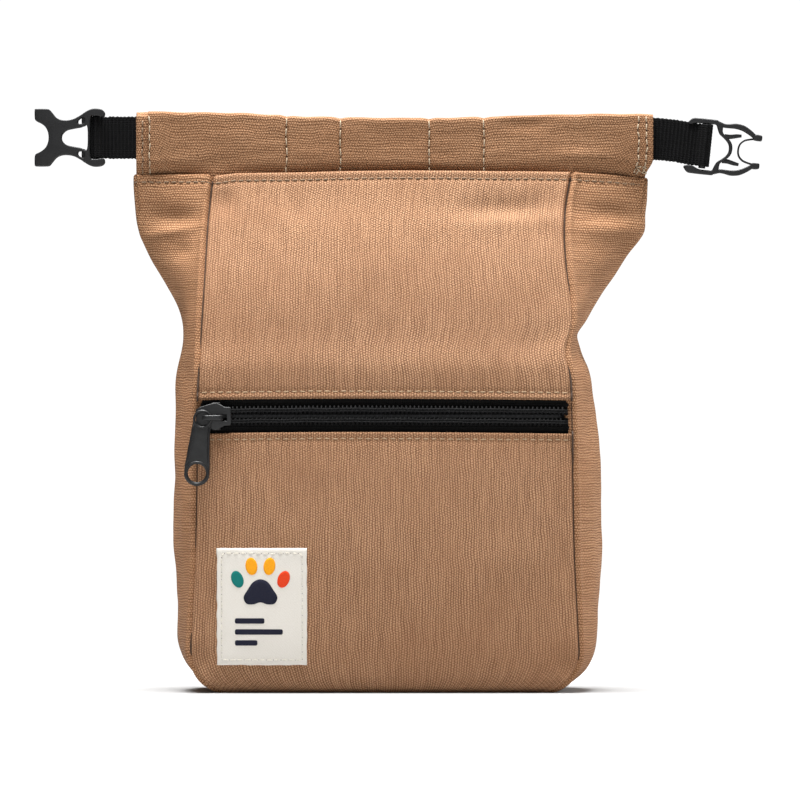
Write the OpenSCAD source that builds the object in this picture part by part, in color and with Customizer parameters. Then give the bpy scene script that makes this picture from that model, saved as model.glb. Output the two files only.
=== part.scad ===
// Roll-top treat pouch: waxed-canvas bag with a zipped front pocket, a stiffened
// collar that folds down, and a side-release buckle on two short webbing straps.
// Millimetres, +Z up, the front faces -Y, the origin is the middle of the base.

/* [Canvas body] */
// Height of the top hem of the body
hem_z = 184.8; // [184.2:0.1:185.2]
// Thickness of the canvas
canvas_t = 1.2; // [0.9:0.1:1.3]
// Thickness of the wipe-clean liner
liner_t = 0.6; // [0.4:0.1:0.6]
// Gap between the canvas and the liner
liner_gap = 0.3; // [0.3:0.1:0.4]
// Radius of the bottom corners of the gussets
corner_r = 20; // [18:1:22]
// Radius of the bottom corners of the front and back panels
seam_r = 15; // [12:1:16]
// Radius along the bottom edge of the front and back panels
base_edge_r = 5; // [5:0.5:6]

/* [Zip pocket] */
// Height of the zip's centre line
zip_z = 98.4; // [96:0.1:100]
// Height of the window between the two folded canvas edges
window_h = 11.6; // [11:0.1:12.5]
// Left and right ends of the zip
zip_x0 = -67.4; // [-67.8:0.1:-66]
zip_x1 = 62.6; // [60:0.1:63]
// Width of one zip tape
tape_w = 13; // [11:0.5:14]
// Thickness of the zip tape
tape_t = 0.6; // [0.5:0.05:0.65]
// Width of one row of coil
coil_w = 2.8; // [2.4:0.1:2.9]
// Thickness of the coil
coil_t = 2.2; // [1.8:0.1:2.3]
// Height of the pocket bag behind the zip
pocket_h = 94; // [80:1:95]

/* [Slider and pull] */
// Left end of the slider with the zip closed
slider_x0 = -69.4; // [-69.5:0.1:-67]
// Length of the slider
slider_l = 12.1; // [11:0.1:13]
// Widest height of the slider
slider_w = 9.8; // [9:0.1:10]
// Thickness of each slider plate
plate_t = 1.0; // [0.8:0.1:1.0]
// Distance from the eye of the pull to its finger hole
pull_l = 19.2; // [17:0.1:22]
// Radius of the finger hole in the pull
pull_hole_r = 3.2; // [2.8:0.1:3.4]
// Angle at which the pull hangs off plumb
pull_lean = 5.7; // [0:0.1:8]

/* [Collar] */
// Left and right ends of the collar
collar_x0 = -91.6; // [-92:0.1:-91]
collar_x1 = 93.7; // [93:0.1:94]
// Bottom and top of the collar
collar_z0 = 186; // [185.8:0.1:186.5]
collar_z1 = 206.8; // [206:0.1:208]
// Thickness of one canvas ply of the collar
ply_t = 0.8; // [0.6:0.1:0.8]
// Thickness of the stiffener strip inside each collar wall
stiffener_t = 1.2; // [1:0.1:1.2]
// Half of the gap between the collar walls in the middle
mouth_gap = 2.8; // [2.7:0.1:3]
// Radius of the magnet discs
magnet_r = 8; // [7:0.5:8]
// Middles of the two stitched magnet channels
magnet_x = [-28, 23.2];

/* [Webbing and buckle] */
// Width of the webbing
web_w = 15; // [14:0.5:15]
// Thickness of the doubled webbing
web_t = 2.5; // [2:0.1:2.6]
// Radius of the bars that hold the webbing
bar_r = 1.25; // [1:0.05:1.3]
// Height of the middle of the left strap
strap_left_z = 198.3; // [197:0.1:199]
// Height of the middle of the right strap at the collar
strap_right_z = 197.3; // [197:0.1:198]
// Free length of the left strap, from its hinge to the socket's bar
strap_left_l = 12.1; // [12:0.1:16]
// Free length of the right strap, from its hinge to the plug's bar
strap_right_l = 16.2; // [16:0.1:20]
// Droop of the right strap and plug
droop = 6; // [0:0.5:8]
// Thickness of the socket
socket_t = 6.8; // [6.4:0.1:7.2]
// Thickness of the slot inside the socket
cavity_t = 4.6; // [4.4:0.1:4.8]
// Thickness of the plug
plug_t = 3.6; // [3.2:0.1:3.8]

/* [Belt loops] */
// Middles of the two belt loops
loop_x = [-32, 32];
// Width of a belt loop
loop_w = 20; // [15:1:25]
// Bottom and top of a belt loop
loop_z0 = 64; // [60:1:70]
loop_z1 = 124; // [118:1:126]
// How far a belt loop stands off the back panel
loop_gap = 5.6; // [5:0.1:7]

/* [Hidden] */
$fn = 48;

canvas_brown = [0.66, 0.46, 0.30];
webbing_black = [0.07, 0.07, 0.075];
plastic_black = [0.10, 0.10, 0.11];
label_cream = [0.93, 0.90, 0.82];

// Shape of the body at chosen heights, joined by smooth curves. Each row is
// [height, left edge, left seam, right seam, right edge, half depth at the front seams,
//  half depth at the back seams, bulge of the front, bulge of the back, roundness of the gusset]
SHAPE = [
    [0, -76.2, -71.6, 67.4, 73.6, 23.4, 24.8, 0.6, 1.0, 2.2],
    [22, -76.4, -71.4, 66.6, 73.8, 24.7, 25.2, 1.5, 1.6, 2.2],
    [50, -77.6, -70.0, 65.2, 75.1, 25.7, 25.8, 1.9, 2.2, 2.2],
    [78, -77.9, -69.3, 64.6, 74.8, 25.8, 25.6, 1.1, 2.4, 2.2],
    [98, -77.6, -69.2, 64.2, 73.0, 25.5, 25.5, 0.0, 2.4, 2.1],
    [115, -76.2, -68.6, 63.8, 70.2, 25.3, 25.4, 0.3, 2.2, 2.0],
    [126, -75.2, -68.0, 63.6, 67.6, 22.9, 24.8, 0.7, 2.0, 2.0],
    [135, -75.8, -67.5, 63.2, 71.4, 21.1, 23.4, 1.1, 2.0, 1.8],
    [145, -80.2, -67.0, 62.8, 77.5, 18.8, 20.9, 1.4, 2.0, 1.5],
    [155, -86.8, -66.5, 62.2, 84.0, 15.8, 17.4, 1.7, 1.9, 1.3],
    [165, -90.8, -66.0, 61.8, 88.8, 12.4, 13.0, 1.8, 1.8, 1.15],
    [175, -92.0, -65.2, 62.6, 91.0, 8.8, 8.8, 1.7, 1.7, 1.1],
    [186, -92.6, -64.0, 64.6, 92.2, 5.6, 5.6, 1.6, 1.6, 1.1]
];
EDGE_L = 1;
SEAM_L = 2;
SEAM_R = 3;
EDGE_R = 4;
DEPTH_FRONT = 5;
DEPTH_BACK = 6;
BULGE_FRONT = 7;
BULGE_BACK = 8;
ROUNDNESS = 9;

front_cells = 12;
gusset_cells = 8;
lower_rows = [28, 38, 50, 62, 72, 82];
upper_rows = [112, 120, 127, 134, 141, 148, 155, 162, 169, 177];
corner_rows = [for (a = [0:18:90]) corner_r * (1 - cos(a))];
window_z0 = zip_z - window_h / 2;
window_z1 = zip_z + window_h / 2;
liner_out = canvas_t + liner_gap;

zip_y = -shape(98, DEPTH_FRONT);
tape_y = zip_y + canvas_t + 0.15;
coil_gap = 0.6;
pocket_y = tape_y + tape_t + 1.75;
pocket_t = 0.5;
pocket_liner_out = pocket_y + pocket_t + 0.3 - zip_y;

plate_gap = 0.25;
front_plate_y = tape_y - coil_t - plate_gap - plate_t;
back_plate_y = tape_y + tape_t + plate_gap;
back_plate_cut = 1.1;
slider_mid = slider_x0 + slider_l * 0.57;
post_t = 0.7;
crown_z = zip_z - 0.5;
crown_w = 1.8;
crown_t = 1.0;
crown_lift = 1.0;
crown_x0 = slider_x0 + 2.3;
crown_x1 = crown_x0 + 7.4;
eye_r = 3.4;
eye_hole_r = 2.5;
eye_z = crown_z - 0.5;
pull_t = 1.0;
pull_end_r = 4.6;
pull_axis_x = slider_x0 + 5.25;
pull_axis_y = front_plate_y - 1.1;
eye_x = pull_axis_x - (eye_r + eye_hole_r) / 2;

wall_t = 2 * ply_t + stiffener_t;
end_gap = 0.8;
collar_steps = 16;
stiffener_inset = 16;
stiffener_z0 = collar_z0 + 2.6;
stiffener_z1 = collar_z1 - 1.6;
anchor_t = 1.4;
anchor_l = 18;
hinge_out = 2.3;
strap_left_x = collar_x0 - hinge_out;
strap_right_x = collar_x1 + hinge_out;
web_clear = 0.06;

label_x0 = -62;
label_x1 = -30;
label_z0 = 10.2;
label_z1 = 51.5;
label_t = 0.6;

// ---- Smooth curve through one column of SHAPE ----
function segment(z, i = 0) = i >= len(SHAPE) - 2 || z < SHAPE[i + 1][0] ? i : segment(z, i + 1);
function slope(i, c) = let(a = max(i - 1, 0), b = min(i + 1, len(SHAPE) - 1))
    (SHAPE[b][c] - SHAPE[a][c]) / (SHAPE[b][0] - SHAPE[a][0]);
function shape(z, c) = let(
        i = segment(z),
        h = SHAPE[i + 1][0] - SHAPE[i][0],
        s = (z - SHAPE[i][0]) / h,
        p0 = SHAPE[i][c],
        p1 = SHAPE[i + 1][c],
        m0 = slope(i, c) * h,
        m1 = slope(i + 1, c) * h)
    (2 * s ^ 3 - 3 * s ^ 2 + 1) * p0 + (s ^ 3 - 2 * s ^ 2 + s) * m0
    + (3 * s ^ 2 - 2 * s ^ 3) * p1 + (s ^ 3 - s ^ 2) * m1;

// How far a round corner of radius r pulls the wall in at height z
function corner(z, r) = z < r ? r - sqrt(r * r - (r - z) * (r - z)) : 0;

// Height on a surface t inside the canvas that faces height z on the canvas
function inner_z(z, t) = z < corner_r ? t + z * (corner_r - t) / corner_r : z;

// Half depth at the front seams (face -1) or back seams (face 1), t inside; t_y is the offset along Y
function depth_in(z, t, t_y, face) = shape(inner_z(z, t), face < 0 ? DEPTH_FRONT : DEPTH_BACK) - t_y
    - corner(inner_z(z, t) - t, base_edge_r - t);

// Turn from the flat panel into the gusset at the seam
function seam_turn(z, edge, seam) =
    atan2(shape(z, DEPTH_BACK), abs(shape(z, edge) - shape(z, seam)) * shape(z, ROUNDNESS));

// Place of a seam, t inside; side is -1 on the left and 1 on the right
function seam_x(z, side, t) = let(
        edge = side < 0 ? EDGE_L : EDGE_R,
        seam = side < 0 ? SEAM_L : SEAM_R,
        zi = inner_z(z, t))
    shape(zi, seam) - side * (t * tan(seam_turn(zi, edge, seam) / 2) + corner(zi - t, seam_r - t));

// Outermost place of a gusset, t inside; a flat fold needs more room than a round one
function edge_x(z, side, t) = let(
        edge = side < 0 ? EDGE_L : EDGE_R,
        seam = side < 0 ? SEAM_L : SEAM_R,
        zi = inner_z(z, t),
        w = abs(shape(zi, edge) - shape(zi, seam)),
        d = shape(zi, DEPTH_FRONT),
        fold = max(0, 2 - shape(zi, ROUNDNESS)) * (sqrt(w * w + d * d) / d - 1))
    shape(zi, edge) - side * (t * (1 + fold) + corner(zi - t, corner_r - t));

// Point of a front or back panel; u runs from -1 at the left seam to 1 at the right seam
function panel_point(u, z, t, t_y, face) = let(zi = inner_z(z, t))
    [seam_x(z, -1, t) * (1 - u) / 2 + seam_x(z, 1, t) * (1 + u) / 2,
     face * (depth_in(z, t, t_y, face) + shape(zi, face < 0 ? BULGE_FRONT : BULGE_BACK) * (1 - u * u)),
     zi];

// Point of a gusset; v runs from -1 at the front seam to 1 at the back seam
function gusset_point(v, z, side, t, t_front) = let(zi = inner_z(z, t))
    [seam_x(z, side, t) + (edge_x(z, side, t) - seam_x(z, side, t))
        * (1 - abs(v) ^ shape(zi, ROUNDNESS)),
     v * (v < 0 ? depth_in(z, t, t_front, -1) : depth_in(z, t, t, 1)),
     zi];

// Whole outline of the bag at height z, t inside, with the front t_front inside
function outline(z, t, t_front) = concat(
    [for (i = [0:front_cells - 1]) panel_point(2 * i / front_cells - 1, z, t, t_front, -1)],
    [for (i = [0:gusset_cells - 1]) gusset_point(2 * i / gusset_cells - 1, z, 1, t, t_front)],
    [for (i = [0:front_cells - 1]) panel_point(1 - 2 * i / front_cells, z, t, t, 1)],
    [for (i = [0:gusset_cells - 1]) gusset_point(1 - 2 * i / gusset_cells, z, -1, t, t_front)]);

function flat(lists) = [for (l = lists) for (p = l) p];

// ---- Sheet between two grids of points, each a list of rows of the same length ----
function quad(a, b, c, d) = [[a, b, c], [a, c, d]];
module sheet(outer, inner) {
    rows = len(outer);
    cols = len(outer[0]);
    n = rows * cols;
    faces = flat(concat(
        [for (r = [0:rows - 2]) for (c = [0:cols - 2])
            quad(r * cols + c, (r + 1) * cols + c, (r + 1) * cols + c + 1, r * cols + c + 1)],
        [for (r = [0:rows - 2]) for (c = [0:cols - 2])
            quad(n + r * cols + c, n + r * cols + c + 1, n + (r + 1) * cols + c + 1,
                 n + (r + 1) * cols + c)],
        [for (c = [0:cols - 2]) quad(c, c + 1, n + c + 1, n + c)],
        [for (c = [0:cols - 2]) let(r = (rows - 1) * cols)
            quad(r + c + 1, r + c, n + r + c, n + r + c + 1)],
        [for (r = [0:rows - 2]) quad((r + 1) * cols, r * cols, n + r * cols, n + (r + 1) * cols)],
        [for (r = [0:rows - 2]) let(c = cols - 1)
            quad(r * cols + c, (r + 1) * cols + c, n + (r + 1) * cols + c, n + r * cols + c)]));
    polyhedron(points = concat(flat(outer), flat(inner)), faces = faces, convexity = 8);
}

// ---- Cup between two stacks of closed rings, with a closed bottom ----
module cup(outer, inner) {
    rows = len(outer);
    cols = len(outer[0]);
    n = rows * cols;
    mid_out = 2 * n;
    mid_in = 2 * n + 1;
    faces = concat(
        flat([for (r = [0:rows - 2]) for (c = [0:cols - 1]) let(d = (c + 1) % cols)
            quad(r * cols + c, (r + 1) * cols + c, (r + 1) * cols + d, r * cols + d)]),
        flat([for (r = [0:rows - 2]) for (c = [0:cols - 1]) let(d = (c + 1) % cols)
            quad(n + r * cols + c, n + r * cols + d, n + (r + 1) * cols + d,
                 n + (r + 1) * cols + c)]),
        flat([for (c = [0:cols - 1]) let(d = (c + 1) % cols, r = (rows - 1) * cols)
            quad(r + d, r + c, n + r + c, n + r + d)]),
        [for (c = [0:cols - 1]) [c, (c + 1) % cols, mid_out]],
        [for (c = [0:cols - 1]) [n + (c + 1) % cols, n + c, mid_in]]);
    polyhedron(points = concat(flat(outer), flat(inner),
        [[0, 0, outer[0][0][2]], [0, 0, inner[0][0][2]]]), faces = faces, convexity = 8);
}

module panel(rows, face) {
    us = [for (i = [0:front_cells]) face * (1 - 2 * i / front_cells)];
    sheet([for (z = rows) [for (u = us) panel_point(u, z, 0, 0, face)]],
          [for (z = rows) [for (u = us) panel_point(u, z, canvas_t, canvas_t, face)]]);
}

module gusset(side) {
    vs = [for (i = [0:gusset_cells]) side * (2 * i / gusset_cells - 1)];
    rows = concat(corner_rows, lower_rows, [window_z0, window_z1], upper_rows, [hem_z]);
    sheet([for (z = rows) [for (v = vs) gusset_point(v, z, side, 0, 0)]],
          [for (z = rows) [for (v = vs) gusset_point(v, z, side, canvas_t, canvas_t)]]);
}

// ---- Canvas body ----
module front_upper_panel() {
    color(canvas_brown) panel(concat([window_z1], upper_rows, [hem_z]), -1);
}

module front_lower_panel() {
    color(canvas_brown) panel(concat(corner_rows, lower_rows, [window_z0]), -1);
}

module gusset_left() {
    color(canvas_brown) gusset(-1);
}

module gusset_right() {
    color(canvas_brown) gusset(1);
}

module back_panel() {
    rows = concat(corner_rows, lower_rows, [window_z0, window_z1], upper_rows, [hem_z]);
    color(canvas_brown) panel(rows, 1);
}

module bottom_panel() {
    color(canvas_brown)
        linear_extrude(canvas_t) polygon([for (p = outline(0, 0, 0)) [p[0], p[1]]]);
}

// How far inside the canvas the liner's front stands: behind the pocket bag, then close
function liner_front(z) = lookup(z, [[118, pocket_liner_out], [138, liner_out]]);

module liner() {
    rows = concat(corner_rows, lower_rows, [92, 104], upper_rows, [hem_z - 1.5]);
    color([0.20, 0.21, 0.23]) cup(
        [for (z = rows) outline(z, liner_out, liner_front(z))],
        [for (z = rows) outline(z, liner_out + liner_t, liner_front(z) + liner_t)]);
}

// ---- Zip pocket ----
module pocket_back() {
    pocket_top = window_z1 + 12;
    side_gap = 0.05;
    us = [for (i = [0:front_cells]) (1 - side_gap) * (2 * i / front_cells - 1)];
    zs = [for (i = [0:8]) pocket_top - pocket_h * (1 - i / 8)];
    t = pocket_y - zip_y;
    color([0.20, 0.21, 0.23]) sheet(
        [for (z = zs) [for (u = us) panel_point(-u, z, canvas_t, t, -1)]],
        [for (z = zs) [for (u = us) panel_point(-u, z, canvas_t, t + pocket_t, -1)]]);
}

module zipper_tape(side) {
    color(webbing_black)
        translate([zip_x0, tape_y, side > 0 ? zip_z + coil_gap : zip_z - coil_gap - tape_w])
            cube([zip_x1 - zip_x0, tape_t, tape_w]);
}

module zipper_tape_upper() {
    zipper_tape(1);
}

module zipper_tape_lower() {
    zipper_tape(-1);
}

// One row of coil: a half-round bar beside the centre line, on the front of its tape
module zipper_coil(side) {
    color(plastic_black)
        translate([zip_x0, tape_y - coil_t, side > 0 ? zip_z + coil_gap : zip_z - coil_gap - coil_w])
            cube([zip_x1 - zip_x0, coil_t, coil_w]);
}

module zipper_coil_upper() {
    zipper_coil(1);
}

module zipper_coil_lower() {
    zipper_coil(-1);
}

// A plate of thickness t whose outline is drawn in X and Z, its front face at y
module upright(y, t) {
    translate([0, y + t, 0]) rotate([90, 0, 0]) linear_extrude(t) children();
}

// Outline of a slider plate, its left end cut short: widest past the middle, narrow at both ends
module slider_outline(cut) {
    half = slider_w / 2;
    translate([slider_x0, zip_z]) polygon([
        [cut, -half * 0.52], [cut + 1.2, -half * 0.66], [slider_l * 0.57 - 1.2, -half],
        [slider_l * 0.57 + 0.6, -half], [slider_l - 2.6, -half * 0.68], [slider_l, -half * 0.68],
        [slider_l, half * 0.68], [slider_l - 2.6, half * 0.68], [slider_l * 0.57 + 0.6, half],
        [slider_l * 0.57 - 1.2, half], [cut + 1.2, half * 0.66], [cut, half * 0.52]]);
}

module slider_body() {
    flange_h = 0.9;
    flange_l = 3.0;
    flange_z = slider_w / 2 - flange_h;
    color(plastic_black) {
        upright(front_plate_y, plate_t) slider_outline(0);
        upright(back_plate_y, plate_t) slider_outline(back_plate_cut);
        // The post that parts the two rows of coil
        translate([slider_x0 + 1.3, front_plate_y + plate_t / 2, zip_z - post_t / 2])
            cube([2.6, back_plate_y - front_plate_y, post_t]);
        // Side flanges, open where the tape runs through
        for (z = [zip_z - slider_w / 2 + 0.02, zip_z + flange_z - 0.02]) {
            translate([slider_mid - flange_l / 2, front_plate_y + plate_t / 2, z])
                cube([flange_l, tape_y - plate_gap - front_plate_y - plate_t / 2, flange_h]);
        }
        // The crown that traps the eye of the pull
        translate([crown_x0, pull_axis_y - crown_lift - crown_t - 0.5, crown_z - crown_w / 2])
            cube([crown_x1 - crown_x0, crown_t, crown_w]);
        for (x = [crown_x0, crown_x1 - 1]) {
            translate([x, pull_axis_y - crown_lift - crown_t - 0.5, crown_z - crown_w / 2])
                cube([1, front_plate_y + plate_t / 2 - pull_axis_y + crown_lift + crown_t + 0.5,
                      crown_w]);
        }
    }
}

module pull_tab() {
    end_x = eye_x - pull_l * sin(pull_lean);
    end_z = eye_z - pull_l * cos(pull_lean);
    y = pull_axis_y - pull_t / 2;
    color(plastic_black) difference() {
        union() {
            upright(y, pull_t) translate([eye_x, eye_z]) circle(r = eye_r);
            upright(y, pull_t) translate([end_x, end_z]) circle(r = pull_end_r);
            upright(y, pull_t) translate([eye_x, eye_z]) rotate(-pull_lean)
                polygon([[-2.9, 0], [2.9, 0], [3.1, -6], [4.3, -pull_l + 1.3],
                         [-4.3, -pull_l + 1.3], [-3.1, -6]]);
        }
        upright(y - 1, pull_t + 2) translate([eye_x, eye_z]) circle(r = eye_hole_r);
        upright(y - 1, pull_t + 2) translate([end_x, end_z]) circle(r = pull_hole_r);
    }
}

// ---- Label: a thin patch that follows the lower front panel ----
function front_y(x, z) = let(
        u = 2 * (x - seam_x(z, -1, 0)) / (seam_x(z, 1, 0) - seam_x(z, -1, 0)) - 1)
    -depth_in(z, 0, 0, -1) - shape(z, BULGE_FRONT) * (1 - u * u);

module label_patch() {
    cells = 6;
    lift = 0.12;
    xs = [for (i = [0:cells]) label_x1 + (label_x0 - label_x1) * i / cells];
    zs = [for (i = [0:cells]) label_z0 + (label_z1 - label_z0) * i / cells];
    color(label_cream) sheet(
        [for (z = zs) [for (x = xs) [x, front_y(x, z) - lift - label_t, z]]],
        [for (z = zs) [for (x = xs) [x, front_y(x, z) - lift, z]]]);
}

// ---- Collar: two bowed walls that meet at the side seams ----
// Distance of a collar wall's inner face from the middle plane; u runs from -1 to 1
function collar_bow(u) = end_gap + (mouth_gap - end_gap) * (1 - u * u);

// Bowed strip in plan, from a to b away from the wall's inner face, between x0 and x1
module bowed_strip(face, a, b, x0, x1) {
    mid = (collar_x0 + collar_x1) / 2;
    half = (collar_x1 - collar_x0) / 2;
    xs = [for (i = [0:collar_steps]) x0 + (x1 - x0) * i / collar_steps];
    polygon(concat(
        [for (x = xs) [x, face * (collar_bow((x - mid) / half) + a)]],
        [for (i = [collar_steps:-1:0])
            [xs[i], face * (collar_bow((xs[i] - mid) / half) + b)]]));
}

module collar_wall(face) {
    color(canvas_brown) difference() {
        translate([0, 0, collar_z0]) linear_extrude(collar_z1 - collar_z0)
            bowed_strip(face, 0, wall_t, collar_x0, collar_x1);
        translate([0, 0, stiffener_z0]) linear_extrude(stiffener_z1 - stiffener_z0)
            bowed_strip(face, ply_t, ply_t + stiffener_t,
                        collar_x0 + stiffener_inset, collar_x1 - stiffener_inset);
    }
}

// The two discs in one wall, t thick, as pieces or as the holes that they sit in
module magnet_discs(face, r, t) {
    mid = (collar_x0 + collar_x1) / 2;
    half = (collar_x1 - collar_x0) / 2;
    for (x = magnet_x) {
        u = (x - mid) / half;
        tilt = -face * atan(2 * (mouth_gap - end_gap) * u / half);
        translate([x, face * (collar_bow(u) + ply_t + stiffener_t / 2), (stiffener_z0 + stiffener_z1) / 2])
            rotate([90, 0, tilt]) cylinder(r = r, h = t, center = true);
    }
}

module stiffener(face) {
    color([0.85, 0.85, 0.82]) difference() {
        translate([0, 0, stiffener_z0]) linear_extrude(stiffener_z1 - stiffener_z0)
            bowed_strip(face, ply_t, ply_t + stiffener_t,
                        collar_x0 + stiffener_inset, collar_x1 - stiffener_inset);
        magnet_discs(face, magnet_r + 0.2, stiffener_t * 3);
    }
}

module collar_front() {
    collar_wall(-1);
}

module collar_back() {
    collar_wall(1);
}

module stiffener_front() {
    stiffener(-1);
}

module stiffener_back() {
    stiffener(1);
}

module magnets_front() {
    color("silver") magnet_discs(-1, magnet_r, stiffener_t - 0.2);
}

module magnets_back() {
    color("silver") magnet_discs(1, magnet_r, stiffener_t - 0.2);
}

// ---- Webbing straps: a sewn-in tail and a free loop round a bar ----
// The tail between the collar walls; it stops just short of the strap's hinge
module webbing_anchor(side) {
    out = side < 0 ? collar_x0 - 0.1 : collar_x1 + 0.1;
    mid_z = side < 0 ? strap_left_z : strap_right_z;
    color(webbing_black)
        translate([side < 0 ? out : out - anchor_l, -anchor_t / 2, mid_z - web_w / 2])
            cube([anchor_l, anchor_t, web_w]);
}

module webbing_anchor_left() {
    webbing_anchor(-1);
}

module webbing_anchor_right() {
    webbing_anchor(1);
}

// Doubled webbing along +X from its hinge at the origin to the loop round the bar
module strap(length) {
    loop_r = bar_r + web_clear + web_t / 2;
    color(webbing_black)
        translate([0, 0, -web_w / 2]) linear_extrude(web_w) difference() {
            union() {
                circle(r = web_t / 2);
                translate([0, -web_t / 2]) square([length, web_t]);
                translate([length, 0]) circle(r = loop_r);
            }
            translate([length, 0]) circle(r = bar_r + web_clear);
        }
}

module place_left() {
    translate([strap_left_x, 0, strap_left_z]) mirror([1, 0, 0]) children();
}

module place_right() {
    translate([strap_right_x, 0, strap_right_z]) rotate([0, droop, 0]) children();
}

module strap_left() {
    place_left() strap(strap_left_l);
}

module strap_right() {
    place_right() strap(strap_right_l);
}

// ---- Buckle socket: measured outwards from the bar that holds its strap ----
// Upper half of the socket's outline, from the bar end to the prong tips
SOCKET_EDGE = [
    [-3.2, 7.9], [-3.0, 9.6], [-1.6, 10.2], [0.8, 10.2], [2.6, 9.6], [4.2, 8.2], [6.0, 6.9],
    [8.4, 6.2], [11.4, 6.1], [13.6, 6.9], [15.2, 8.6], [16.6, 10.0], [18.6, 10.2],
    [21.4, 10.2], [21.8, 9.6], [21.6, 6.4], [20.0, 5.6], [18.2, 4.2], [17.0, 2.2], [16.6, 0]
];
socket_wall = 5.2;
socket_slot = 4.4;

module socket_outline() {
    n = len(SOCKET_EDGE);
    polygon(concat(
        SOCKET_EDGE,
        [for (i = [n - 2:-1:0]) [SOCKET_EDGE[i][0], -SOCKET_EDGE[i][1]]]));
}

module buckle_socket() {
    window_x = 9.6;
    window_r = 2.8;
    color(plastic_black) place_left() translate([strap_left_l, 0, 0]) {
        difference() {
            upright(-socket_t / 2, socket_t) socket_outline();
            // Open end round the strap's loop
            translate([-5, -socket_t, -web_w / 2 - 0.3])
                cube([5 + socket_slot - 1.0, socket_t * 2, web_w + 0.6]);
            // Slot that the plug slides into, open at the mouth and at the waists
            translate([socket_wall, -cavity_t / 2, -8.6]) cube([20, cavity_t, 17.2]);
            // Window between the two arms, open towards the strap
            translate([window_x, 0, 0]) rotate([90, 0, 0])
                cylinder(r = window_r, h = 12, center = true);
            upright(-6, 12) polygon([[socket_slot - 1.5, -3.8], [window_x, -window_r],
                                     [window_x, window_r], [socket_slot - 1.5, 3.8]]);
        }
        // The bar that holds the strap
        cylinder(r = bar_r, h = web_w + 1.6, center = true);
    }
}

// ---- Buckle plug: measured outwards from the bar that holds its strap ----
rail_z = 8.5;
rail_w = 1.7;
rail_x0 = -6.6;
cross_x = 4.4;
cross_w = 1.8;
arm_t = 1.5;
arm_root_z = 7.2;
arm_mid = [11.2, 8.45];
arm_tip = [18.6, 5.0];
tip_l = 2.9;
web_strip_t = 0.6;

module place_plug() {
    place_right() translate([strap_right_l, 0, 0]) children();
}

// Points of a band of width w that follows the curve through three points
function curve3(a, b, c, s) = a * (1 - s) * (1 - 2 * s) + b * 4 * s * (1 - s) + c * s * (2 * s - 1);
function curve3_normal(a, b, c, s) = let(
        d = a * (4 * s - 3) + b * (4 - 8 * s) + c * (4 * s - 1))
    [-d[1], d[0]] / norm(d);
function band3(a, b, c, w, steps) = concat(
    [for (i = [0:steps]) let(s = i / steps) curve3(a, b, c, s) + curve3_normal(a, b, c, s) * w / 2],
    [for (i = [steps:-1:0]) let(s = i / steps) curve3(a, b, c, s) - curve3_normal(a, b, c, s) * w / 2]);

module plug_frame() {
    color(plastic_black) place_plug() {
        for (side = [-1, 1]) {
            translate([rail_x0, -plug_t / 2, side * rail_z - rail_w / 2])
                cube([cross_x + cross_w - rail_x0, plug_t, rail_w]);
            // Guide fingers beside the middle
            upright(-plug_t / 2 + 0.4, plug_t - 0.8)
                polygon(band3([cross_x + cross_w - 0.2, side * 3.6], [9.4, side * 3.2],
                              [12.8, side * 4.6], 1.4, 8));
        }
        translate([cross_x, -plug_t / 2, -rail_z]) cube([cross_w, plug_t, 2 * rail_z]);
        cylinder(r = bar_r, h = 2 * rail_z, center = true);
    }
}

module plug_arm(side) {
    root = cross_x + cross_w + 0.2;
    color(plastic_black) place_plug() {
        // The root is cut square so that it can turn beside the frame
        intersection() {
            upright(-plug_t / 2, plug_t)
                polygon(band3([root - 1, side * (arm_root_z - 0.8)], [arm_mid[0], side * arm_mid[1]],
                              [arm_tip[0], side * arm_tip[1]], arm_t, 12));
            translate([root, -plug_t, -20]) cube([30, 2 * plug_t, 40]);
        }
        translate([arm_tip[0] - 0.9, -plug_t / 2, side * arm_tip[1] - 1.1])
            cube([tip_l, plug_t, 2.2]);
    }
}

module plug_arm_upper() {
    plug_arm(1);
}

module plug_arm_lower() {
    plug_arm(-1);
}

// Thin flexible web from tip to tip
module plug_web() {
    end = arm_tip[1] - 1.6;
    color(plastic_black) place_plug() upright(-plug_t / 2 + 0.5, plug_t - 1)
        polygon(band3([arm_tip[0] + 0.8, end], [12.2, 0], [arm_tip[0] + 0.8, -end], web_strip_t, 12));
}

// ---- Belt loops: webbing sewn to the back at both ends ----
module belt_loop(x) {
    inner_x = abs(x) - loop_w / 2;
    u = inner_x / ((seam_x(94, 1, 0) - seam_x(94, -1, 0)) / 2);
    back = shape(94, DEPTH_BACK) + shape(94, BULGE_BACK) * (1 - u * u);
    t = 1.3;
    tab = 9;
    ramp = 7;
    lift = 0.15;
    z0 = loop_z0;
    z1 = loop_z1;
    g = loop_gap;
    color(webbing_black) translate([x - loop_w / 2, back, 0])
        rotate([90, 0, 90]) linear_extrude(loop_w) polygon([
            [lift, z0], [lift, z0 + tab], [g, z0 + tab + ramp], [g, z1 - tab - ramp],
            [lift, z1 - tab], [lift, z1], [lift + t, z1], [lift + t, z1 - tab + 0.5],
            [g + t, z1 - tab - ramp + 0.5], [g + t, z0 + tab + ramp - 0.5],
            [lift + t, z0 + tab - 0.5], [lift + t, z0]]);
}

module belt_loop_left() {
    belt_loop(loop_x[0]);
}

module belt_loop_right() {
    belt_loop(loop_x[1]);
}

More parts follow.
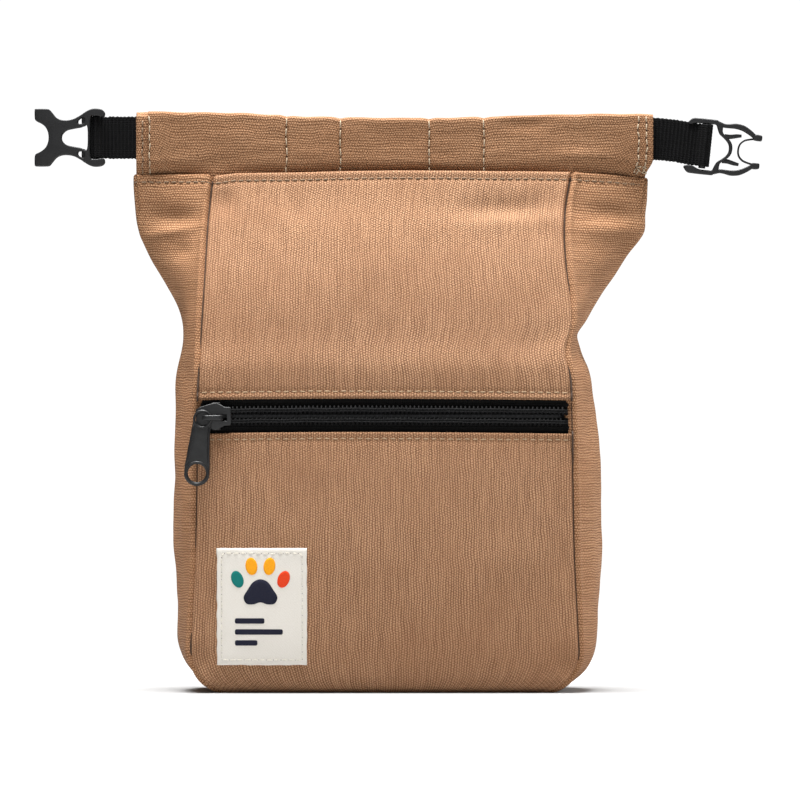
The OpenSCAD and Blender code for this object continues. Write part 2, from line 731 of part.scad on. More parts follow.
front_upper_panel();
front_lower_panel();
gusset_left();
gusset_right();
back_panel();
bottom_panel();
liner();
pocket_back();
zipper_tape_upper();
zipper_tape_lower();
zipper_coil_upper();
zipper_coil_lower();
slider_body();
pull_tab();
label_patch();
collar_front();
collar_back();
stiffener_front();
stiffener_back();
magnets_front();
magnets_back();
webbing_anchor_left();
webbing_anchor_right();
strap_left();
strap_right();
buckle_socket();
plug_frame();
plug_arm_upper();
plug_arm_lower();
plug_web();
belt_loop_left();
belt_loop_right();
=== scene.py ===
"""Looks of the treat pouch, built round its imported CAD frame.

Shapes are worked out in millimetres in the frame's own axes (the front faces -Y, +Z is up)
and turned into metres when a mesh is made. The body's outline repeats the CAD model's.
"""
from contextlib import contextmanager
import math

import bmesh
import bpy
import numpy as np
from mathutils import Matrix


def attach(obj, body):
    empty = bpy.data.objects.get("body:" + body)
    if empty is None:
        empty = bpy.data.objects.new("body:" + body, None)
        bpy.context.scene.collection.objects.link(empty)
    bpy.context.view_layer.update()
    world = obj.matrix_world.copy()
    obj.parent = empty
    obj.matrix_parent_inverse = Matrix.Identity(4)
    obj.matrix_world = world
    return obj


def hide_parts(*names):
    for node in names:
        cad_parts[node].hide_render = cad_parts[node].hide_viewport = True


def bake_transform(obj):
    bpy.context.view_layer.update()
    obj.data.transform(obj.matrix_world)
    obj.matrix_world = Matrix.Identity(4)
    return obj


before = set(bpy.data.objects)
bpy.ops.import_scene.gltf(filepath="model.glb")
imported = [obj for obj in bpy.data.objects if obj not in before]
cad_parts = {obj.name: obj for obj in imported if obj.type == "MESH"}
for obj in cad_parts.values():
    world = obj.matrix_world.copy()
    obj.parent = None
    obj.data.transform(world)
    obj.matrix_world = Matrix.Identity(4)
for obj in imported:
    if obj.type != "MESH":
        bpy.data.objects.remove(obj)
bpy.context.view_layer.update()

MM = 0.001

# ---- The CAD body's outline: rows of [height, left edge, left seam, right seam, right edge,
# ---- half depth at the front seams and at the back seams, bulge of front and back, roundness]
SHAPE = np.array([
    [0, -76.2, -71.6, 67.4, 73.6, 23.4, 24.8, 0.6, 1.0, 2.2],
    [22, -76.4, -71.4, 66.6, 73.8, 24.7, 25.2, 1.5, 1.6, 2.2],
    [50, -77.6, -70.0, 65.2, 75.1, 25.7, 25.8, 1.9, 2.2, 2.2],
    [78, -77.9, -69.3, 64.6, 74.8, 25.8, 25.6, 1.1, 2.4, 2.2],
    [98, -77.6, -69.2, 64.2, 73.0, 25.5, 25.5, 0.0, 2.4, 2.1],
    [115, -76.2, -68.6, 63.8, 70.2, 25.3, 25.4, 0.3, 2.2, 2.0],
    [126, -75.2, -68.0, 63.6, 67.6, 22.9, 24.8, 0.7, 2.0, 2.0],
    [135, -75.8, -67.5, 63.2, 71.4, 21.1, 23.4, 1.1, 2.0, 1.8],
    [145, -80.2, -67.0, 62.8, 77.5, 18.8, 20.9, 1.4, 2.0, 1.5],
    [155, -86.8, -66.5, 62.2, 84.0, 15.8, 17.4, 1.7, 1.9, 1.3],
    [165, -90.8, -66.0, 61.8, 88.8, 12.4, 13.0, 1.8, 1.8, 1.15],
    [175, -92.0, -65.2, 62.6, 91.0, 8.8, 8.8, 1.7, 1.7, 1.1],
    [186, -92.6, -64.0, 64.6, 92.2, 5.6, 5.6, 1.6, 1.6, 1.1],
])
EDGE = {-1: 1, 1: 4}
SEAM = {-1: 2, 1: 3}
DEPTH = {-1: 5, 1: 6}
BULGE = {-1: 7, 1: 8}
ROUNDNESS = 9
CORNER_R = 20
SEAM_R = 15
BASE_EDGE_R = 5
HEM_Z = 184.8
WINDOW_Z0 = 92.6
WINDOW_Z1 = 104.2
ZIP_Z = 98.4
ZIP_X0, ZIP_X1 = -67.4, 62.6
ZIP_Y = -25.5
TAPE_Y = -24.15
CANVAS_T = 1.2


# ======== Small helpers ========
def smoothstep(x, low, high):
    t = np.clip((np.asarray(x, float) - low) / (high - low), 0, 1)
    return t * t * (3 - 2 * t)


def hump(x, middle, width):
    return np.exp(-(((x - middle) / width) ** 2))


def unit(v):
    return v / np.maximum(np.linalg.norm(v, axis=-1, keepdims=True), 1e-9)


def facing(points, way):
    """The way out of a surface that faces along Y: way is 1 or -1."""
    out = np.zeros_like(points)
    out[..., 1] = way
    return out


def run_along(path):
    """Distance of each point of path (n, dims) from its start, along it."""
    steps = np.linalg.norm(np.diff(path, axis=0), axis=1)
    return np.concatenate([[0], np.cumsum(steps)])


def at_run(where, run, path):
    """Points of path (n, dims) at the distances where."""
    return np.stack([np.interp(where, run, path[:, c]) for c in range(path.shape[1])], -1)


def mirrored(points):
    """Points (x, z) in reverse order, on the other side of z = 0."""
    return [(x, -z) for x, z in points[::-1]]


def rectangle(x0, x1, z0, z1):
    return [(x0, z0), (x1, z0), (x1, z1), (x0, z1)]


def ripples(a, b, seed, wave, count=14):
    """Smooth noise of a wavelength near wave, from -1 to 1, the same on every run."""
    rng = np.random.default_rng(seed)
    total = 0
    for _ in range(count):
        turn = rng.uniform(0, 2 * math.pi)
        k = 2 * math.pi / (wave * rng.uniform(0.7, 1.6))
        shift = rng.uniform(0, 2 * math.pi)
        total = total + np.sin(k * (math.cos(turn) * a + math.sin(turn) * b) + shift)
    return total / math.sqrt(count) / 1.6


def column(z, c):
    """Smooth curve through one column of SHAPE."""
    z = np.asarray(z, float)
    knots, values = SHAPE[:, 0], SHAPE[:, c]
    slopes = np.empty(len(knots))
    slopes[1:-1] = (values[2:] - values[:-2]) / (knots[2:] - knots[:-2])
    slopes[0] = (values[1] - values[0]) / (knots[1] - knots[0])
    slopes[-1] = (values[-1] - values[-2]) / (knots[-1] - knots[-2])
    i = np.clip(np.searchsorted(knots, z, side="right") - 1, 0, len(knots) - 2)
    h = knots[i + 1] - knots[i]
    s = (z - knots[i]) / h
    return (
        (2 * s**3 - 3 * s**2 + 1) * values[i]
        + (s**3 - 2 * s**2 + s) * slopes[i] * h
        + (3 * s**2 - 2 * s**3) * values[i + 1]
        + (s**3 - s**2) * slopes[i + 1] * h
    )


def corner(z, r):
    """How far a round corner of radius r pulls a wall in at height z."""
    z = np.clip(z, 0, r)
    return r - np.sqrt(r * r - (r - z) ** 2)


# ======== Meshes ========
def link(obj):
    bpy.context.scene.collection.objects.link(obj)
    return obj


@contextmanager
def editing(mesh):
    """Gives the mesh to bmesh, and takes it back afterwards."""
    work = bmesh.new()
    work.from_mesh(mesh)
    yield work
    work.to_mesh(mesh)
    work.free()


def make_mesh(name, points, faces, material, cloth=None, flip_check=True):
    """A mesh from points in mm. cloth gives each point's place on the flat cloth, in mm."""
    mesh = bpy.data.meshes.new(name)
    mesh.from_pydata((np.asarray(points, float) * MM).tolist(), [], faces)
    if cloth is not None:
        layer = mesh.uv_layers.new(name="cloth")
        corners = np.empty(len(mesh.loops), np.int32)
        mesh.loops.foreach_get("vertex_index", corners)
        layer.data.foreach_set("uv", np.asarray(cloth, np.float32)[corners].ravel())
    if flip_check:
        with editing(mesh) as work:
            bmesh.ops.recalc_face_normals(work, faces=work.faces)
    mesh.polygons.foreach_set("use_smooth", [True] * len(mesh.polygons))
    mesh.materials.append(material)
    return link(bpy.data.objects.new(name, mesh))


def loft_faces(rings, size):
    """Quads between closed rings of the same size, stacked one after another."""
    faces = []
    for r in range(rings - 1):
        for c in range(size):
            d = (c + 1) % size
            a, b = r * size, (r + 1) * size
            faces.append((a + c, a + d, b + d, b + c))
    return faces


def loft(rings):
    """Points and faces of a closed tube through rings (count, size, 3), capped at both ends."""
    count, size = rings.shape[:2]
    faces = loft_faces(count, size)
    faces.append(tuple(range(size - 1, -1, -1)))
    faces.append(tuple(range((count - 1) * size, count * size)))
    return rings.reshape(-1, 3), faces


def gather(parts):
    """Several (points, faces) joined in one."""
    points, faces, offset = [], [], 0
    for p, f in parts:
        points.append(p)
        faces.extend(tuple(i + offset for i in face) for face in f)
        offset += len(p)
    return np.concatenate(points), faces


def ring_of(shape_a, shape_b, sides):
    """Points of an ellipse with half axes shape_a and shape_b."""
    a = np.arange(sides) * 2 * math.pi / sides
    return np.stack([shape_a * np.cos(a), shape_b * np.sin(a)], -1)


def tube(path, radius, sides=8, normal=None):
    """Points and faces of a round tube along path (n, 3)."""
    path = np.asarray(path, float)
    along = unit(np.gradient(path, axis=0))
    side = np.empty_like(path)
    last = np.array(normal if normal is not None else (0.0, 0.0, 1.0), float)
    for i, t in enumerate(along):
        last = last - t * (last @ t)
        if np.linalg.norm(last) < 1e-6:
            last = np.cross(t, (1.0, 0.3, 0.2))
        last = last / np.linalg.norm(last)
        side[i] = last
    other = np.cross(along, side)
    ring = ring_of(1, 1, sides)
    radius = np.broadcast_to(np.asarray(radius, float), (len(path),))
    rings = (
        path[:, None]
        + radius[:, None, None] * ring[None, :, :1] * side[:, None]
        + radius[:, None, None] * ring[None, :, 1:] * other[:, None]
    )
    return loft(rings)


def stitch(middle, along, out, length, thick):
    """One stitch: a short round thread, arched, its two ends sunk in the cloth."""
    s = np.linspace(-1, 1, 7)
    lift = thick * (0.55 - 1.25 * s**4)
    path = middle + np.outer(s * length / 2, along) + np.outer(lift, out)
    return tube(path, thick / 2 * np.sqrt(1.02 - s**6), 7, out)


def stitch_row(name, path, out, pitch, material, thick=0.5, share=0.8, wander=0.06):
    """A row of stitches along path (n, 3), whose surface faces out (n, 3)."""
    run = run_along(path)
    count = max(1, int(run[-1] / pitch))
    rng = np.random.default_rng(len(name) * 7 + count)
    parts, pricks = [], []
    for i in range(count):
        middle_run = run[-1] * (i + 0.5) / count
        a, b = middle_run - pitch * share / 2, middle_run + pitch * share / 2
        ends = [at_run(s, run, path) for s in (a, b)]
        face = unit(at_run(middle_run, run, out))
        along = unit(ends[1] - ends[0])
        across = np.cross(face, along)
        middle = (ends[0] + ends[1]) / 2 + across * rng.normal(0, wander)
        along = unit(along + across * rng.normal(0, 0.06))
        parts.append(stitch(middle, along, face, np.linalg.norm(ends[1] - ends[0]), thick))
        pricks.append(prick(at_run(a - pitch * 0.1, run, path), along, face, thick * 0.62))
    points, faces = gather(parts)
    stitches = make_mesh(name, points, faces, material, flip_check=False)
    # Painted shade: the needle holes are low domes in a dark colour.
    points, faces = gather(pricks)
    holes = make_mesh(name + "_hole_shade", points, faces, MATERIALS["painted_shade_dark"], flip_check=False)
    return join(name, [stitches, holes])


def prick(middle, along, out, size):
    """The shadowed dimple where the needle went in: a low dark dome."""
    across = np.cross(out, along)
    ring = ring_of(size, size, 7)
    low = middle + ring[:, :1] * along + ring[:, 1:] * across - out * 0.1
    high = middle + 0.45 * (ring[:, :1] * along + ring[:, 1:] * across) + out * 0.11
    return loft(np.stack([low, high]))


def thick_cloth(name, face, out, thickness, material, fold_top=0, fold_bottom=0):
    """Closed sheet whose outer side is face (rows, columns, 3), thickness deep against out.
    A folded top or bottom edge is round, with that many steps."""
    rows, cols = face.shape[:2]
    thickness = np.broadcast_to(np.asarray(thickness, float), (rows, cols))[..., None]
    inner = face - out * thickness
    up = unit(face[-1] - face[-2])
    down = unit(face[0] - face[1])
    ring = [face[r] for r in range(rows)]
    ring += arc_rows(face[-1], inner[-1], up, fold_top)
    ring += [inner[r] for r in range(rows - 1, -1, -1)]
    ring += arc_rows(inner[0], face[0], down, fold_bottom)
    rings = np.stack(ring, 1)
    size = rings.shape[1]
    faces = loft_faces(cols, size)
    half = rows + fold_top // 2
    for end in (0, (cols - 1) * size):
        for i in range(half - 1):
            j = 2 * rows + fold_top - 1 - i
            faces.append((end + i, end + i + 1, end + j - 1, end + j))
        if fold_top % 2:
            j = 2 * rows + fold_top - half
            faces.append((end + half - 1, end + half, end + j))
        if fold_bottom:
            faces.append((end, *[end + k for k in range(size - fold_bottom - 1, size)]))
    cloth = cloth_places(rings, rows, fold_top)
    return make_mesh(name, rings.reshape(-1, 3), faces, material, cloth.reshape(-1, 2))


def arc_rows(start, end, outward, steps):
    """Rows of points on a half round from start to end, bulging outward."""
    middle, reach = (start + end) / 2, (start - end) / 2
    radius = np.linalg.norm(reach, axis=-1, keepdims=True)
    angles = [math.pi * (k + 1) / (steps + 1) for k in range(steps)]
    return [middle + reach * math.cos(a) + outward * radius * math.sin(a) for a in angles]


def cloth_places(rings, rows, fold_top):
    """Where each point of a thick sheet lies on the flat cloth: across, then up, in mm."""
    cols, size = rings.shape[:2]
    up = np.zeros((cols, size))
    up[:, 1:] = np.cumsum(np.linalg.norm(np.diff(rings, axis=1), axis=2), 1)
    up = np.broadcast_to(up[cols // 2], up.shape).copy()
    middle_row = rings[:, rows // 2]
    across = run_along(middle_row)
    return np.stack([np.broadcast_to(across[:, None], up.shape), up], -1)


def plate(name, outline, thickness, material, holes=(), bevel=0.25, steps=3):
    """Flat plate in the XZ plane, centred on Y = 0, with rounded edges and real holes.
    Outlines are closed lists of (x, z) in mm."""
    curve = bpy.data.curves.new(name + "_outline", "CURVE")
    curve.dimensions = "2D"
    curve.fill_mode = "BOTH"
    for loop in [outline, *holes]:
        loop = np.asarray(loop, float)
        spline = curve.splines.new("POLY")
        spline.points.add(len(loop) - 1)
        flat = np.zeros((len(loop), 4))
        flat[:, :2] = loop * MM
        flat[:, 3] = 1
        spline.points.foreach_set("co", flat.ravel())
        spline.use_cyclic_u = True
    curve.extrude = (thickness / 2 - bevel) * MM
    curve.bevel_depth = bevel * MM
    curve.bevel_resolution = steps - 1
    curve.offset = -bevel * MM
    holder = link(bpy.data.objects.new(name + "_outline", curve))
    depsgraph = bpy.context.evaluated_depsgraph_get()
    mesh = bpy.data.meshes.new_from_object(holder.evaluated_get(depsgraph))
    bpy.data.objects.remove(holder)
    bpy.data.curves.remove(curve)
    with editing(mesh) as work:
        bmesh.ops.remove_doubles(work, verts=work.verts, dist=1e-7)
        bmesh.ops.recalc_face_normals(work, faces=work.faces)
    mesh.name = name
    mesh.transform(Matrix.Rotation(math.pi / 2, 4, "X"))
    mesh.materials.clear()
    mesh.materials.append(material)
    obj = link(bpy.data.objects.new(name, mesh))
    smooth_by_angle(obj, 40)
    return obj


def smooth_by_angle(obj, degrees):
    mesh = obj.data
    mesh.polygons.foreach_set("use_smooth", [True] * len(mesh.polygons))
    with editing(mesh) as work:
        work.normal_update()
        for edge in work.edges:
            sharp = len(edge.link_faces) != 2 or edge.calc_face_angle(0) > math.radians(degrees)
            edge.smooth = not sharp


def join(name, pieces):
    """Several objects made one, under the first one's materials."""
    bpy.ops.object.select_all(action="DESELECT")
    for p in pieces:
        p.select_set(True)
    bpy.context.view_layer.objects.active = pieces[0]
    bpy.ops.object.join()
    pieces[0].name = name
    pieces[0].data.name = name
    return pieces[0]


def curve_piece(a, b, c, d, steps):
    """Points from b up to c on a smooth curve that comes from a and goes on to d."""
    spots = [k / steps for k in range(steps)]
    return [0.5 * (2 * b + (c - a) * t + (2 * a - 5 * b + 4 * c - d) * t * t
                   + (3 * b - a - 3 * c + d) * t**3) for t in spots]


def round_outline(points, steps=6):
    """Closed smooth curve through points (n, 2)."""
    p = np.asarray(points, float)
    n = len(p)
    out = []
    for i in range(n):
        out += curve_piece(p[i - 1], p[i], p[(i + 1) % n], p[(i + 2) % n], steps)
    return np.array(out)


def open_curve(points, steps=6):
    """Smooth curve through points (n, dims), from the first to the last."""
    p = np.asarray(points, float)
    p = np.vstack([2 * p[0] - p[1], p, 2 * p[-1] - p[-2]])
    out = []
    for i in range(1, len(p) - 2):
        out += curve_piece(p[i - 1], p[i], p[i + 1], p[i + 2], steps)
    out.append(p[-2])
    return np.array(out)


def band(points, width, steps=6):
    """Closed outline of a band of a given width along a smooth curve; width may vary."""
    line = open_curve(points, steps)
    along = unit(np.gradient(line, axis=0))
    normal = np.stack([-along[:, 1], along[:, 0]], -1)
    spots = np.linspace(0, 1, len(line))
    w = np.interp(spots, np.linspace(0, 1, len(np.atleast_1d(width))), np.atleast_1d(width))
    left, right = line + normal * w[:, None] / 2, line - normal * w[:, None] / 2
    return np.vstack([left, right[::-1]])


def circle(x, z, r, sides=32):
    return ring_of(r, r, sides) + np.array([x, z])


def moved(obj, rule):
    """Moves an object's points by rule, which takes and gives (n, 3) in mm."""
    mesh = obj.data
    co = np.empty(len(mesh.vertices) * 3)
    mesh.vertices.foreach_get("co", co)
    co = rule(co.reshape(-1, 3) / MM) * MM
    mesh.vertices.foreach_set("co", co.ravel())
    mesh.update()
    return obj


# ======== Materials ========
class Nodes:
    """Short names for building a node tree."""

    def __init__(self, name):
        self.material = bpy.data.materials.new(name)
        self.material.use_nodes = True
        self.tree = self.material.node_tree
        self.shader = self.tree.nodes["Principled BSDF"]

    def add(self, kind, **values):
        node = self.tree.nodes.new(kind)
        for key, value in values.items():
            setattr(node, key, value)
        return node

    def join(self, source, target):
        self.tree.links.new(source, target)

    def math(self, operation, a, b=None, c=None):
        node = self.add("ShaderNodeMath", operation=operation)
        for socket, value in zip(node.inputs, (a, b, c)):
            if value is None:
                continue
            if isinstance(value, (int, float)):
                socket.default_value = value
            else:
                self.join(value, socket)
        return node.outputs[0]

    def plus(self, a, b):
        return self.math("ADD", a, b)

    def minus(self, a, b):
        return self.math("SUBTRACT", a, b)

    def times(self, a, b):
        return self.math("MULTIPLY", a, b)

    def cosine(self, value, period=None):
        """Cosine of a node's value: an angle, or a length with its period in the same unit."""
        if period is not None:
            value = self.times(value, 2 * math.pi / period)
        return self.math("COSINE", value)

    def noise(self, vector, scale, detail=3.0, roughness=0.55):
        node = self.add("ShaderNodeTexNoise")
        node.inputs["Scale"].default_value = scale
        node.inputs["Detail"].default_value = detail
        node.inputs["Roughness"].default_value = roughness
        self.join(vector, node.inputs["Vector"])
        return node.outputs["Fac"]

    def place(self):
        return self.add("ShaderNodeTexCoord").outputs["Object"]

    def cloth(self):
        """The two places on the flat cloth, in mm: across and up."""
        uv = self.add("ShaderNodeUVMap", uv_map="cloth")
        split = self.add("ShaderNodeSeparateXYZ")
        self.join(uv.outputs["UV"], split.inputs[0])
        return uv.outputs["UV"], split.outputs["X"], split.outputs["Y"]

    def ramp(self, value, stops):
        node = self.add("ShaderNodeValToRGB")
        elements = node.color_ramp.elements
        while len(elements) < len(stops):
            elements.new(0.5)
        for element, (at, colour) in zip(elements, stops):
            element.position = at
            element.color = (*colour, 1)
        self.join(value, node.inputs["Fac"])
        return node.outputs["Color"]

    def mix(self, share, a, b, blend="MIX"):
        node = self.add("ShaderNodeMix", data_type="RGBA", blend_type=blend)
        for socket, value in ((node.inputs[0], share), (node.inputs[6], a), (node.inputs[7], b)):
            if isinstance(value, (int, float)):
                socket.default_value = value
            elif isinstance(value, tuple):
                socket.default_value = (*value, 1)
            else:
                self.join(value, socket)
        return node.outputs[2]

    def bump(self, height, distance, strength):
        node = self.add("ShaderNodeBump")
        node.inputs["Strength"].default_value = strength
        node.inputs["Distance"].default_value = distance * MM
        self.join(height, node.inputs["Height"])
        return node.outputs["Normal"]

    def finish(self, colour=None, roughness=None, normal=None, **constants):
        for name, value in (("Base Color", colour), ("Roughness", roughness)):
            socket = self.shader.inputs[name]
            if isinstance(value, tuple):
                socket.default_value = (*value, 1)
            elif isinstance(value, (int, float)):
                socket.default_value = value
            elif value is not None:
                self.join(value, socket)
        if normal is not None:
            self.join(normal, self.shader.inputs["Normal"])
        for name, value in constants.items():
            socket = self.shader.inputs[name.replace("_", " ")]
            socket.default_value = (*value, 1) if isinstance(value, tuple) else value
        return self.material


WEAVE_COLUMN, WEAVE_DOT = 1.86, 0.92


def canvas_material(name, tint=1.0, along_rows=False, shine=0.2):
    """Waxed plain-weave canvas: offset dots in columns, slubs, and mottled wax; the weave's low threads
    are darker, partly their own tone and partly painted shade.
    """
    n = Nodes(name)
    uv, across, up = n.cloth()
    place = n.place()
    if along_rows:
        across, up = up, across
    sway = n.times(n.minus(n.noise(uv, 0.12, 2), 0.5), 2.0)
    a = n.times(n.plus(across, sway), 2 * math.pi / WEAVE_COLUMN)
    b = n.times(up, 2 * math.pi / WEAVE_DOT)
    dots = n.times(n.cosine(a), n.cosine(b))
    columns = n.cosine(n.times(a, 2.0))
    weave = n.plus(n.times(dots, 0.24), n.times(columns, 0.20))
    stretched = n.add("ShaderNodeMapping")
    stretched.inputs["Scale"].default_value = (0.06, 1.1, 1) if along_rows else (1.1, 0.06, 1)
    n.join(uv, stretched.inputs["Vector"])
    slub = n.minus(n.noise(stretched.outputs[0], 1.0, 4, 0.7), 0.5)
    grain = n.minus(n.noise(uv, 2.5, 3, 0.7), 0.5)
    height = n.plus(weave, n.plus(n.times(slub, 0.7), n.times(grain, 1.5)))
    # Colour follows the weave's height: the low threads are darker, partly their own tone and partly
    # painted shade in the weave's hollows.
    shade = n.plus(n.times(height, 1.3), 0.5)
    dark, middle, light, worn = (tuple(c * tint for c in colour) for colour in (
        (0.150, 0.066, 0.028), (0.345, 0.168, 0.079), (0.540, 0.310, 0.172), (0.27, 0.122, 0.054)))
    colour = n.ramp(shade, [(0.16, dark), (0.5, middle), (0.86, light)])
    blotch = n.noise(place, 24, 4, 0.6)
    colour = n.mix(n.times(n.minus(blotch, 0.42), 1.3), colour, worn)
    rough = n.plus(n.times(blotch, 0.16), 0.66)
    return n.finish(colour, rough, n.bump(height, 0.26, 0.85), Specular_IOR_Level=shine)


def webbing_material(name):
    """Black ribbed webbing."""
    n = Nodes(name)
    uv, across, up = n.cloth()
    rib = n.cosine(across, 1.35)
    twill = n.cosine(n.plus(up, n.times(rib, 0.12)), 0.8)
    grain = n.noise(uv, 2.5, 3, 0.7)
    height = n.plus(n.times(rib, 0.5), n.plus(n.times(twill, 0.22), n.times(grain, 0.5)))
    shade = n.plus(n.times(height, 0.4), 0.35)
    colour = n.ramp(shade, [(0.1, (0.0008, 0.0008, 0.0009)), (0.6, (0.0035, 0.0035, 0.0038)),
                            (1.0, (0.011, 0.011, 0.012))])
    return n.finish(colour, 0.85, n.bump(height, 0.22, 0.9), Specular_IOR_Level=0.14)


def tape_material(name):
    """Knitted zip tape: fine upright ribs with a raised cord beside the coil."""
    n = Nodes(name)
    uv, across, up = n.cloth()
    rib = n.cosine(up, 0.95)
    knit = n.cosine(across, 0.8)
    height = n.plus(n.times(rib, 0.4), n.plus(n.times(knit, 0.25), n.noise(uv, 1.8, 3)))
    colour = n.ramp(height, [(0.0, (0.0015, 0.0015, 0.0015)), (0.9, (0.005, 0.005, 0.005))])
    return n.finish(colour, 0.8, n.bump(height, 0.15, 0.8), Specular_IOR_Level=0.15)


def plastic_material(name, colour, rough, shine):
    """Moulded satin plastic: fine grain, soft wear on its colour."""
    n = Nodes(name)
    place = n.place()
    fine = n.noise(place, 2600, 2, 0.6)
    wear = n.noise(place, 160, 4, 0.6)
    light = tuple(c * 1.5 for c in colour)
    shown = n.mix(n.times(wear, 0.55), colour, light)
    roughness = n.plus(n.times(wear, 0.16), rough - 0.08)
    return n.finish(shown, roughness, n.bump(fine, 0.02, 0.6), Specular_IOR_Level=shine)


def metal_material(name):
    """Zinc with a dull black coat, worn a little lighter where it is handled."""
    n = Nodes(name)
    place = n.place()
    fine = n.noise(place, 1500, 3, 0.6)
    wear = n.noise(place, 420, 5, 0.65)
    colour = n.ramp(wear, [(0.3, (0.007, 0.0072, 0.0076)), (0.62, (0.013, 0.0133, 0.014)),
                           (0.8, (0.035, 0.035, 0.037))])
    roughness = n.plus(n.times(fine, 0.2), 0.3)
    return n.finish(colour, roughness, n.bump(fine, 0.02, 0.5), Metallic=0.35,
                    Specular_IOR_Level=0.6)


def thread_material(name, colour, sheen=0.2):
    """Twisted thread."""
    n = Nodes(name)
    place = n.place()
    twist = n.noise(place, 2200, 2, 0.6)
    shown = n.ramp(twist, [(0.25, tuple(c * 0.55 for c in colour)), (0.6, colour)])
    return n.finish(shown, 0.75, n.bump(twist, 0.08, 0.8), Sheen_Weight=sheen)


def label_material(name):
    """Smooth cream cotton with a fine twill line."""
    n = Nodes(name)
    uv, across, up = n.cloth()
    twill = n.cosine(n.plus(across, up), 0.55)
    grain = n.noise(uv, 2.2, 4, 0.7)
    height = n.plus(n.times(twill, 0.3), grain)
    colour = n.ramp(height, [(0.1, (0.66, 0.62, 0.55)), (0.7, (0.80, 0.765, 0.705)),
                             (1.0, (0.84, 0.81, 0.76))])
    return n.finish(colour, 0.8, n.bump(height, 0.05, 0.6), Sheen_Weight=0.1)


def print_material(name, colour):
    """Ink printed on the label: the cotton's grain shows through it."""
    n = Nodes(name)
    place = n.place()
    grain = n.noise(place, 1800, 3, 0.7)
    shown = n.ramp(grain, [(0.2, tuple(c * 0.8 + 0.01 for c in colour)), (0.7, colour)])
    return n.finish(shown, 0.9, n.bump(grain, 0.04, 0.6), Specular_IOR_Level=0.08)


def liner_material(name):
    """Coated nylon: tiny ripstop squares under a soft gloss."""
    n = Nodes(name)
    place = n.place()
    split = n.add("ShaderNodeSeparateXYZ")
    n.join(place, split.inputs[0])
    lines = None
    for axis in ("X", "Z"):
        wave = n.cosine(split.outputs[axis], 5 * MM)
        line = n.math("POWER", n.plus(n.times(wave, 0.5), 0.5), 24.0)
        lines = line if lines is None else n.math("MAXIMUM", lines, line)
    height = n.plus(lines, n.noise(place, 900, 3))
    colour = n.ramp(height, [(0.2, (0.030, 0.031, 0.035)), (1.0, (0.075, 0.077, 0.085))])
    return n.finish(colour, 0.45, n.bump(height, 0.06, 0.7), Specular_IOR_Level=0.45)


MATERIALS = {
    "canvas_front": canvas_material("canvas_front", shine=0.4),
    "canvas_side": canvas_material("canvas_side", along_rows=True),
    "canvas_collar": canvas_material("canvas_collar", tint=0.93, along_rows=True),
    "webbing": webbing_material("webbing"),
    "tape": tape_material("zip_tape"),
    "coil": plastic_material("zip_coil", (0.003, 0.003, 0.0033), 0.55, 0.15),
    "buckle": plastic_material("buckle", (0.009, 0.0092, 0.0098), 0.42, 0.35),
    "metal": metal_material("zip_metal"),
    "thread_cream": thread_material("thread_cream", (0.52, 0.40, 0.265)),
    "thread_tan": thread_material("thread_tan", (0.27, 0.175, 0.10)),
    # Painted shade: this dark colour is used for the seam shadow lines and the needle-hole domes.
    "painted_shade_dark": thread_material("painted_shade_dark", (0.055, 0.026, 0.012), 0),
    "thread_sand": thread_material("thread_sand", (0.50, 0.34, 0.20)),
    "thread_black": thread_material("thread_black", (0.02, 0.02, 0.022)),
    "thread_white": thread_material("thread_white", (0.80, 0.76, 0.66)),
    "label": label_material("label"),
    "liner": liner_material("liner"),
    "ink_navy": print_material("ink_navy", (0.017, 0.018, 0.034)),
    "ink_teal": print_material("ink_teal", (0.010, 0.19, 0.17)),
    "ink_amber": print_material("ink_amber", (0.98, 0.40, 0.015)),
    "ink_red": print_material("ink_red", (0.80, 0.062, 0.018)),
}


# ======== Camera, light and floor ========
VIEW_X, VIEW_Z = 3.0, 104.2
VIEW_PLANE_Y = -12
VIEW_WIDTH = 285.6
CAMERA_AWAY = 2400
SENSOR = 36


def make_camera():
    data = bpy.data.cameras.new("camera")
    data.sensor_width = SENSOR
    data.lens = SENSOR * CAMERA_AWAY / VIEW_WIDTH
    data.clip_start = 0.05
    data.clip_end = 50
    camera = link(bpy.data.objects.new("camera", data))
    camera.location = (VIEW_X * MM, (VIEW_PLANE_Y - CAMERA_AWAY) * MM, VIEW_Z * MM)
    camera.rotation_euler = (math.pi / 2, 0, 0)
    bpy.context.scene.camera = camera


def area_light(name, place, target, size, power):
    data = bpy.data.lights.new(name, "AREA")
    data.shape = "RECTANGLE"
    data.size, data.size_y = size
    data.energy = power
    light = link(bpy.data.objects.new(name, data))
    light.location = place
    way = np.array(target, float) - np.array(place, float)
    light.rotation_euler = (
        math.acos(-way[2] / np.linalg.norm(way)), 0, math.atan2(way[1], way[0]) - math.pi / 2
    )


def make_studio():
    world = bpy.data.worlds.new("studio")
    bpy.context.scene.world = world
    world.use_nodes = True
    nodes, links = world.node_tree.nodes, world.node_tree.links
    seen = nodes["Background"]
    seen.inputs["Color"].default_value = (1, 1, 1, 1)
    seen.inputs["Strength"].default_value = 1.05
    fill = nodes.new("ShaderNodeBackground")
    fill.inputs["Color"].default_value = (1, 0.985, 0.965, 1)
    fill.inputs["Strength"].default_value = 0.09
    path = nodes.new("ShaderNodeLightPath")
    choose = nodes.new("ShaderNodeMixShader")
    links.new(path.outputs["Is Camera Ray"], choose.inputs[0])
    links.new(fill.outputs[0], choose.inputs[1])
    links.new(seen.outputs[0], choose.inputs[2])
    links.new(choose.outputs[0], nodes["World Output"].inputs["Surface"])
    area_light("key", (-0.06, -0.10, 1.5), (0, 0, 0.09), (0.95, 0.8), 90)
    area_light("side_right", (1.0, 0.30, 0.5), (0, 0, 0.10), (0.6, 0.8), 8)
    area_light("front", (0.0, -1.6, 0.25), (0, 0, 0.10), (1.2, 0.4), 2.2)
    bpy.context.scene.view_settings.view_transform = "Standard"


